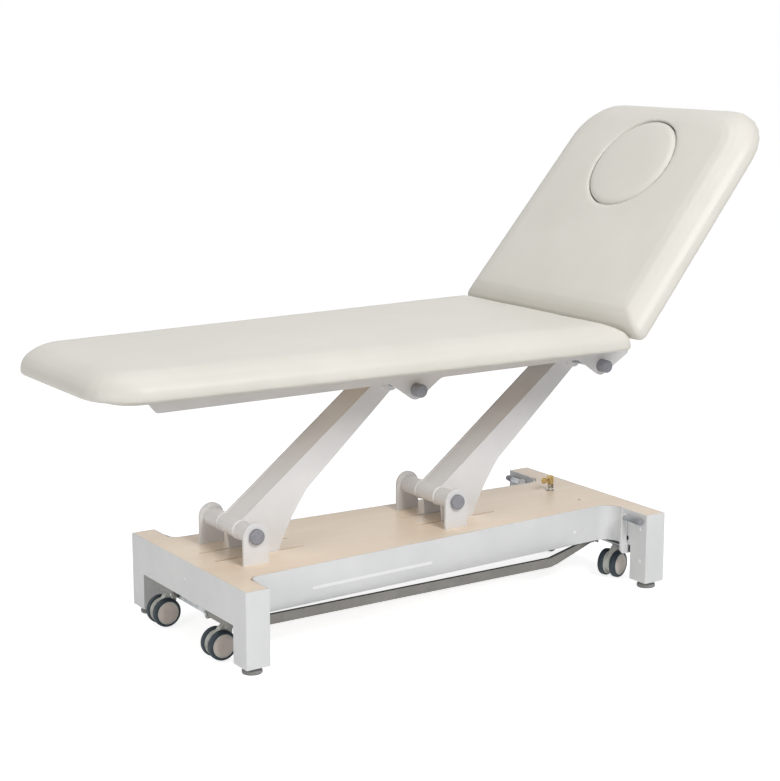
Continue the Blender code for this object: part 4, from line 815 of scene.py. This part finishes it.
# The hole's crisp edge: the turn of the flare where its wall and its lip end, how far the wall, the lip
# and the face keep off the hole, and the lip's drop.
WALL_TURN = 30
LIP_TURN = 60
WALL_OFF = 0.0008
LIP_OFF = 0.0016
FACE_OFF = 0.0040
LIP_DROP = 0.0008


def settled(piece):
    """Applies an object's modifiers to its mesh."""
    whole = bpy.data.meshes.new_from_object(piece.evaluated_get(bpy.context.evaluated_depsgraph_get()))
    piece.modifiers.clear()
    piece.data = whole
    return whole


def swell(piece, drawn_in, most, held):
    """Draws the free cover in a little, lets the foam press it out and keeps the even part of that rise."""
    mesh = piece.data
    group = piece.vertex_groups.new(name="stapled")
    ways = [point.normal.copy() for point in mesh.vertices]
    for point, way in zip(mesh.vertices, ways):
        if held(point.co):
            group.add([point.index], 1.0, "REPLACE")
        else:
            point.co -= way * drawn_in
    start = [point.co.copy() for point in mesh.vertices]
    cloth = piece.modifiers.new("foam_pressure", "CLOTH").settings
    cloth.quality = 3
    cloth.use_pressure = True
    cloth.uniform_pressure_force = FOAM_PRESSURE
    cloth.vertex_group_mass = "stapled"
    cloth.tension_stiffness = COVER_STIFFNESS
    cloth.compression_stiffness = COVER_STIFFNESS
    cloth.bending_stiffness = COVER_BENDING
    cloth.effector_weights.gravity = 0.0
    for step in range(1, SWELL_FRAMES + 1):
        scene.frame_set(step)
    mesh = settled(piece)
    scene.frame_set(1)
    rise = np.array([(point.co - first).dot(way) for point, first, way in zip(mesh.vertices, start, ways)])
    rise = np.clip(rise, 0.0, most)
    pairs = np.empty(len(mesh.edges) * 2, dtype=np.int32)
    mesh.edges.foreach_get("vertices", pairs)
    one, two = pairs.reshape(-1, 2).T
    count = len(rise)
    ties = np.bincount(pairs, minlength=count)
    for turn in range(SMOOTHINGS):
        around = np.bincount(one, rise[two], count) + np.bincount(two, rise[one], count)
        rise = (rise + around / ties) / 2
    for point, first, way, lift in zip(mesh.vertices, start, ways, rise):
        point.co = first + way * lift


def upholster(piece, body, solid):
    """Covers a finished pad with vinyl and fixes it to its body."""
    mesh = piece.data
    mesh.materials.clear()
    mesh.materials.append(vinyl)
    mesh.shade_smooth()
    mount(piece, body, "vinyl", solid)


def cushion(solid, name, body, voxel, held, trimmed=None):
    """Pad grown from its solid: remeshed evenly, swollen, smoothed, held close to the solid and trimmed."""
    core = bmesh.new()
    core.from_mesh(nodes[solid].data)
    bmesh.ops.remove_doubles(core, verts=core.verts, dist=SAME_POINT)
    mesh = bpy.data.meshes.new(name)
    core.to_mesh(mesh)
    bmesh.ops.triangulate(core, faces=core.faces)
    foam = BVHTree.FromBMesh(core)
    core.free()
    piece = linked(name, mesh)
    cover = piece.modifiers.new("even_cover", "REMESH")
    cover.mode = "VOXEL"
    cover.voxel_size = voxel
    for point in settled(piece).vertices:
        spot, _, _, gap = foam.find_nearest(point.co)
        if gap < voxel * SNAP_SHARE:
            point.co = spot
    swell(piece, DRAWN_IN, MOST_RISE, held)
    smooth = piece.modifiers.new("drawn_tight", "SMOOTH")
    smooth.factor = 0.5
    smooth.iterations = 5
    for point in settled(piece).vertices:
        spot, way = foam.find_nearest(point.co)[:2]
        if (point.co - spot).dot(way) > PROUD_OF_SOLID:
            point.co = spot + way * PROUD_OF_SOLID
        if trimmed:
            point.co = trimmed(point.co, spot)
    upholster(piece, body, solid)


plug_middle = hinge + back_up * PLUG_AT
leg_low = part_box("leg_cushion")[0][2]


def off_axis(co):
    """Way to a point from the face plug's axis, square to that axis."""
    away = co - plug_middle
    return away - back_out * away.dot(back_out)


def leg_held(co):
    """Whether a point of the leg cushion's cover is in its stapled band."""
    return co.z < leg_low + STAPLED_BAND


def back_held(co):
    """Whether a point of the backrest's cover is in its stapled band or at the hole."""
    stapled = (co - hinge).dot(back_out) < PAD_BACK + STAPLED_BAND
    return stapled or off_axis(co).length < HOLE_RADIUS + HOLE_FLARE


def hole_edge(co, spot):
    """Draws the round flare of the hole in to the crisp edge that a tight cover has there."""
    away = off_axis(spot)
    reach = away.length
    if reach > HOLE_RADIUS + HOLE_FLARE + FLARE_SPARE:
        return co
    rise = (spot - plug_middle).dot(back_out)
    turn = math.degrees(math.atan2(rise - PAD_FRONT + HOLE_FLARE, HOLE_RADIUS + HOLE_FLARE - reach))
    if turn < WALL_TURN:
        reach = HOLE_RADIUS + WALL_OFF
    elif turn < LIP_TURN:
        reach = HOLE_RADIUS + LIP_OFF
        rise = PAD_FRONT - LIP_DROP
    else:
        reach = max(reach, HOLE_RADIUS + FACE_OFF)
        rise = PAD_FRONT
    return plug_middle + away.normalized() * reach + back_out * rise


cushion("leg_cushion", "leg_pad", "top_frame", LEG_VOXEL, leg_held)
cushion("backrest_cushion", "back_pad", "backrest", BACK_VOXEL, back_held, hole_edge)

# Face plug
# A round foam plug in the same vinyl, pressed into the backrest's hole; its edge is rolled, so a thin
# dark groove shows all round it.
PLUG_RADIUS = 0.1388
PLUG_CHAMFER = 0.0020
PLUG_BELOW = 0.0153
PLUG_LOW = PAD_BACK - PLUG_BELOW
ROLL_WIDE = 0.017
ROLL_DEEP = 0.0105
ROLL_STEPS = 7
PLUG_PROUD = 0.0030
PLUG_TOP = PAD_FRONT + PLUG_PROUD
CROWN = 0.0022
CROWN_STEPS = 18
HELD_DEEP = 0.0130
PLUG_DRAWN_IN = 0.0005
PLUG_MOST_RISE = 0.003


def plug_held(co):
    """Whether a point of the plug's cover lies below its rolled edge."""
    return (co - hinge).dot(back_out) < PAD_FRONT - HELD_DEEP


profile = [(0.0, PLUG_LOW), (PLUG_RADIUS * 0.5, PLUG_LOW), (PLUG_RADIUS - PLUG_CHAMFER, PLUG_LOW),
           (PLUG_RADIUS, PLUG_LOW + PLUG_CHAMFER), (PLUG_RADIUS, 0.0), (PLUG_RADIUS, PAD_FRONT - ROLL_DEEP)]
for step in range(1, ROLL_STEPS + 1):
    spin = math.pi / 2 * step / ROLL_STEPS
    reach = PLUG_RADIUS - ROLL_WIDE * (1 - math.cos(spin))
    profile.append((reach, PLUG_TOP - ROLL_DEEP * (1 - math.sin(spin))))
inside = PLUG_RADIUS - ROLL_WIDE
for step in range(1, CROWN_STEPS):
    reach = inside * (1 - step / CROWN_STEPS)
    profile.append((reach, PLUG_TOP + CROWN * (1 - (reach / inside) ** 2)))
profile.append((0.0, PLUG_TOP + CROWN))
plug = turned("face_plug_pad", profile, plug_middle, back_out, vinyl, facets=120)
swell(plug, PLUG_DRAWN_IN, PLUG_MOST_RISE, plug_held)
upholster(plug, "face_plug", "face_plug")
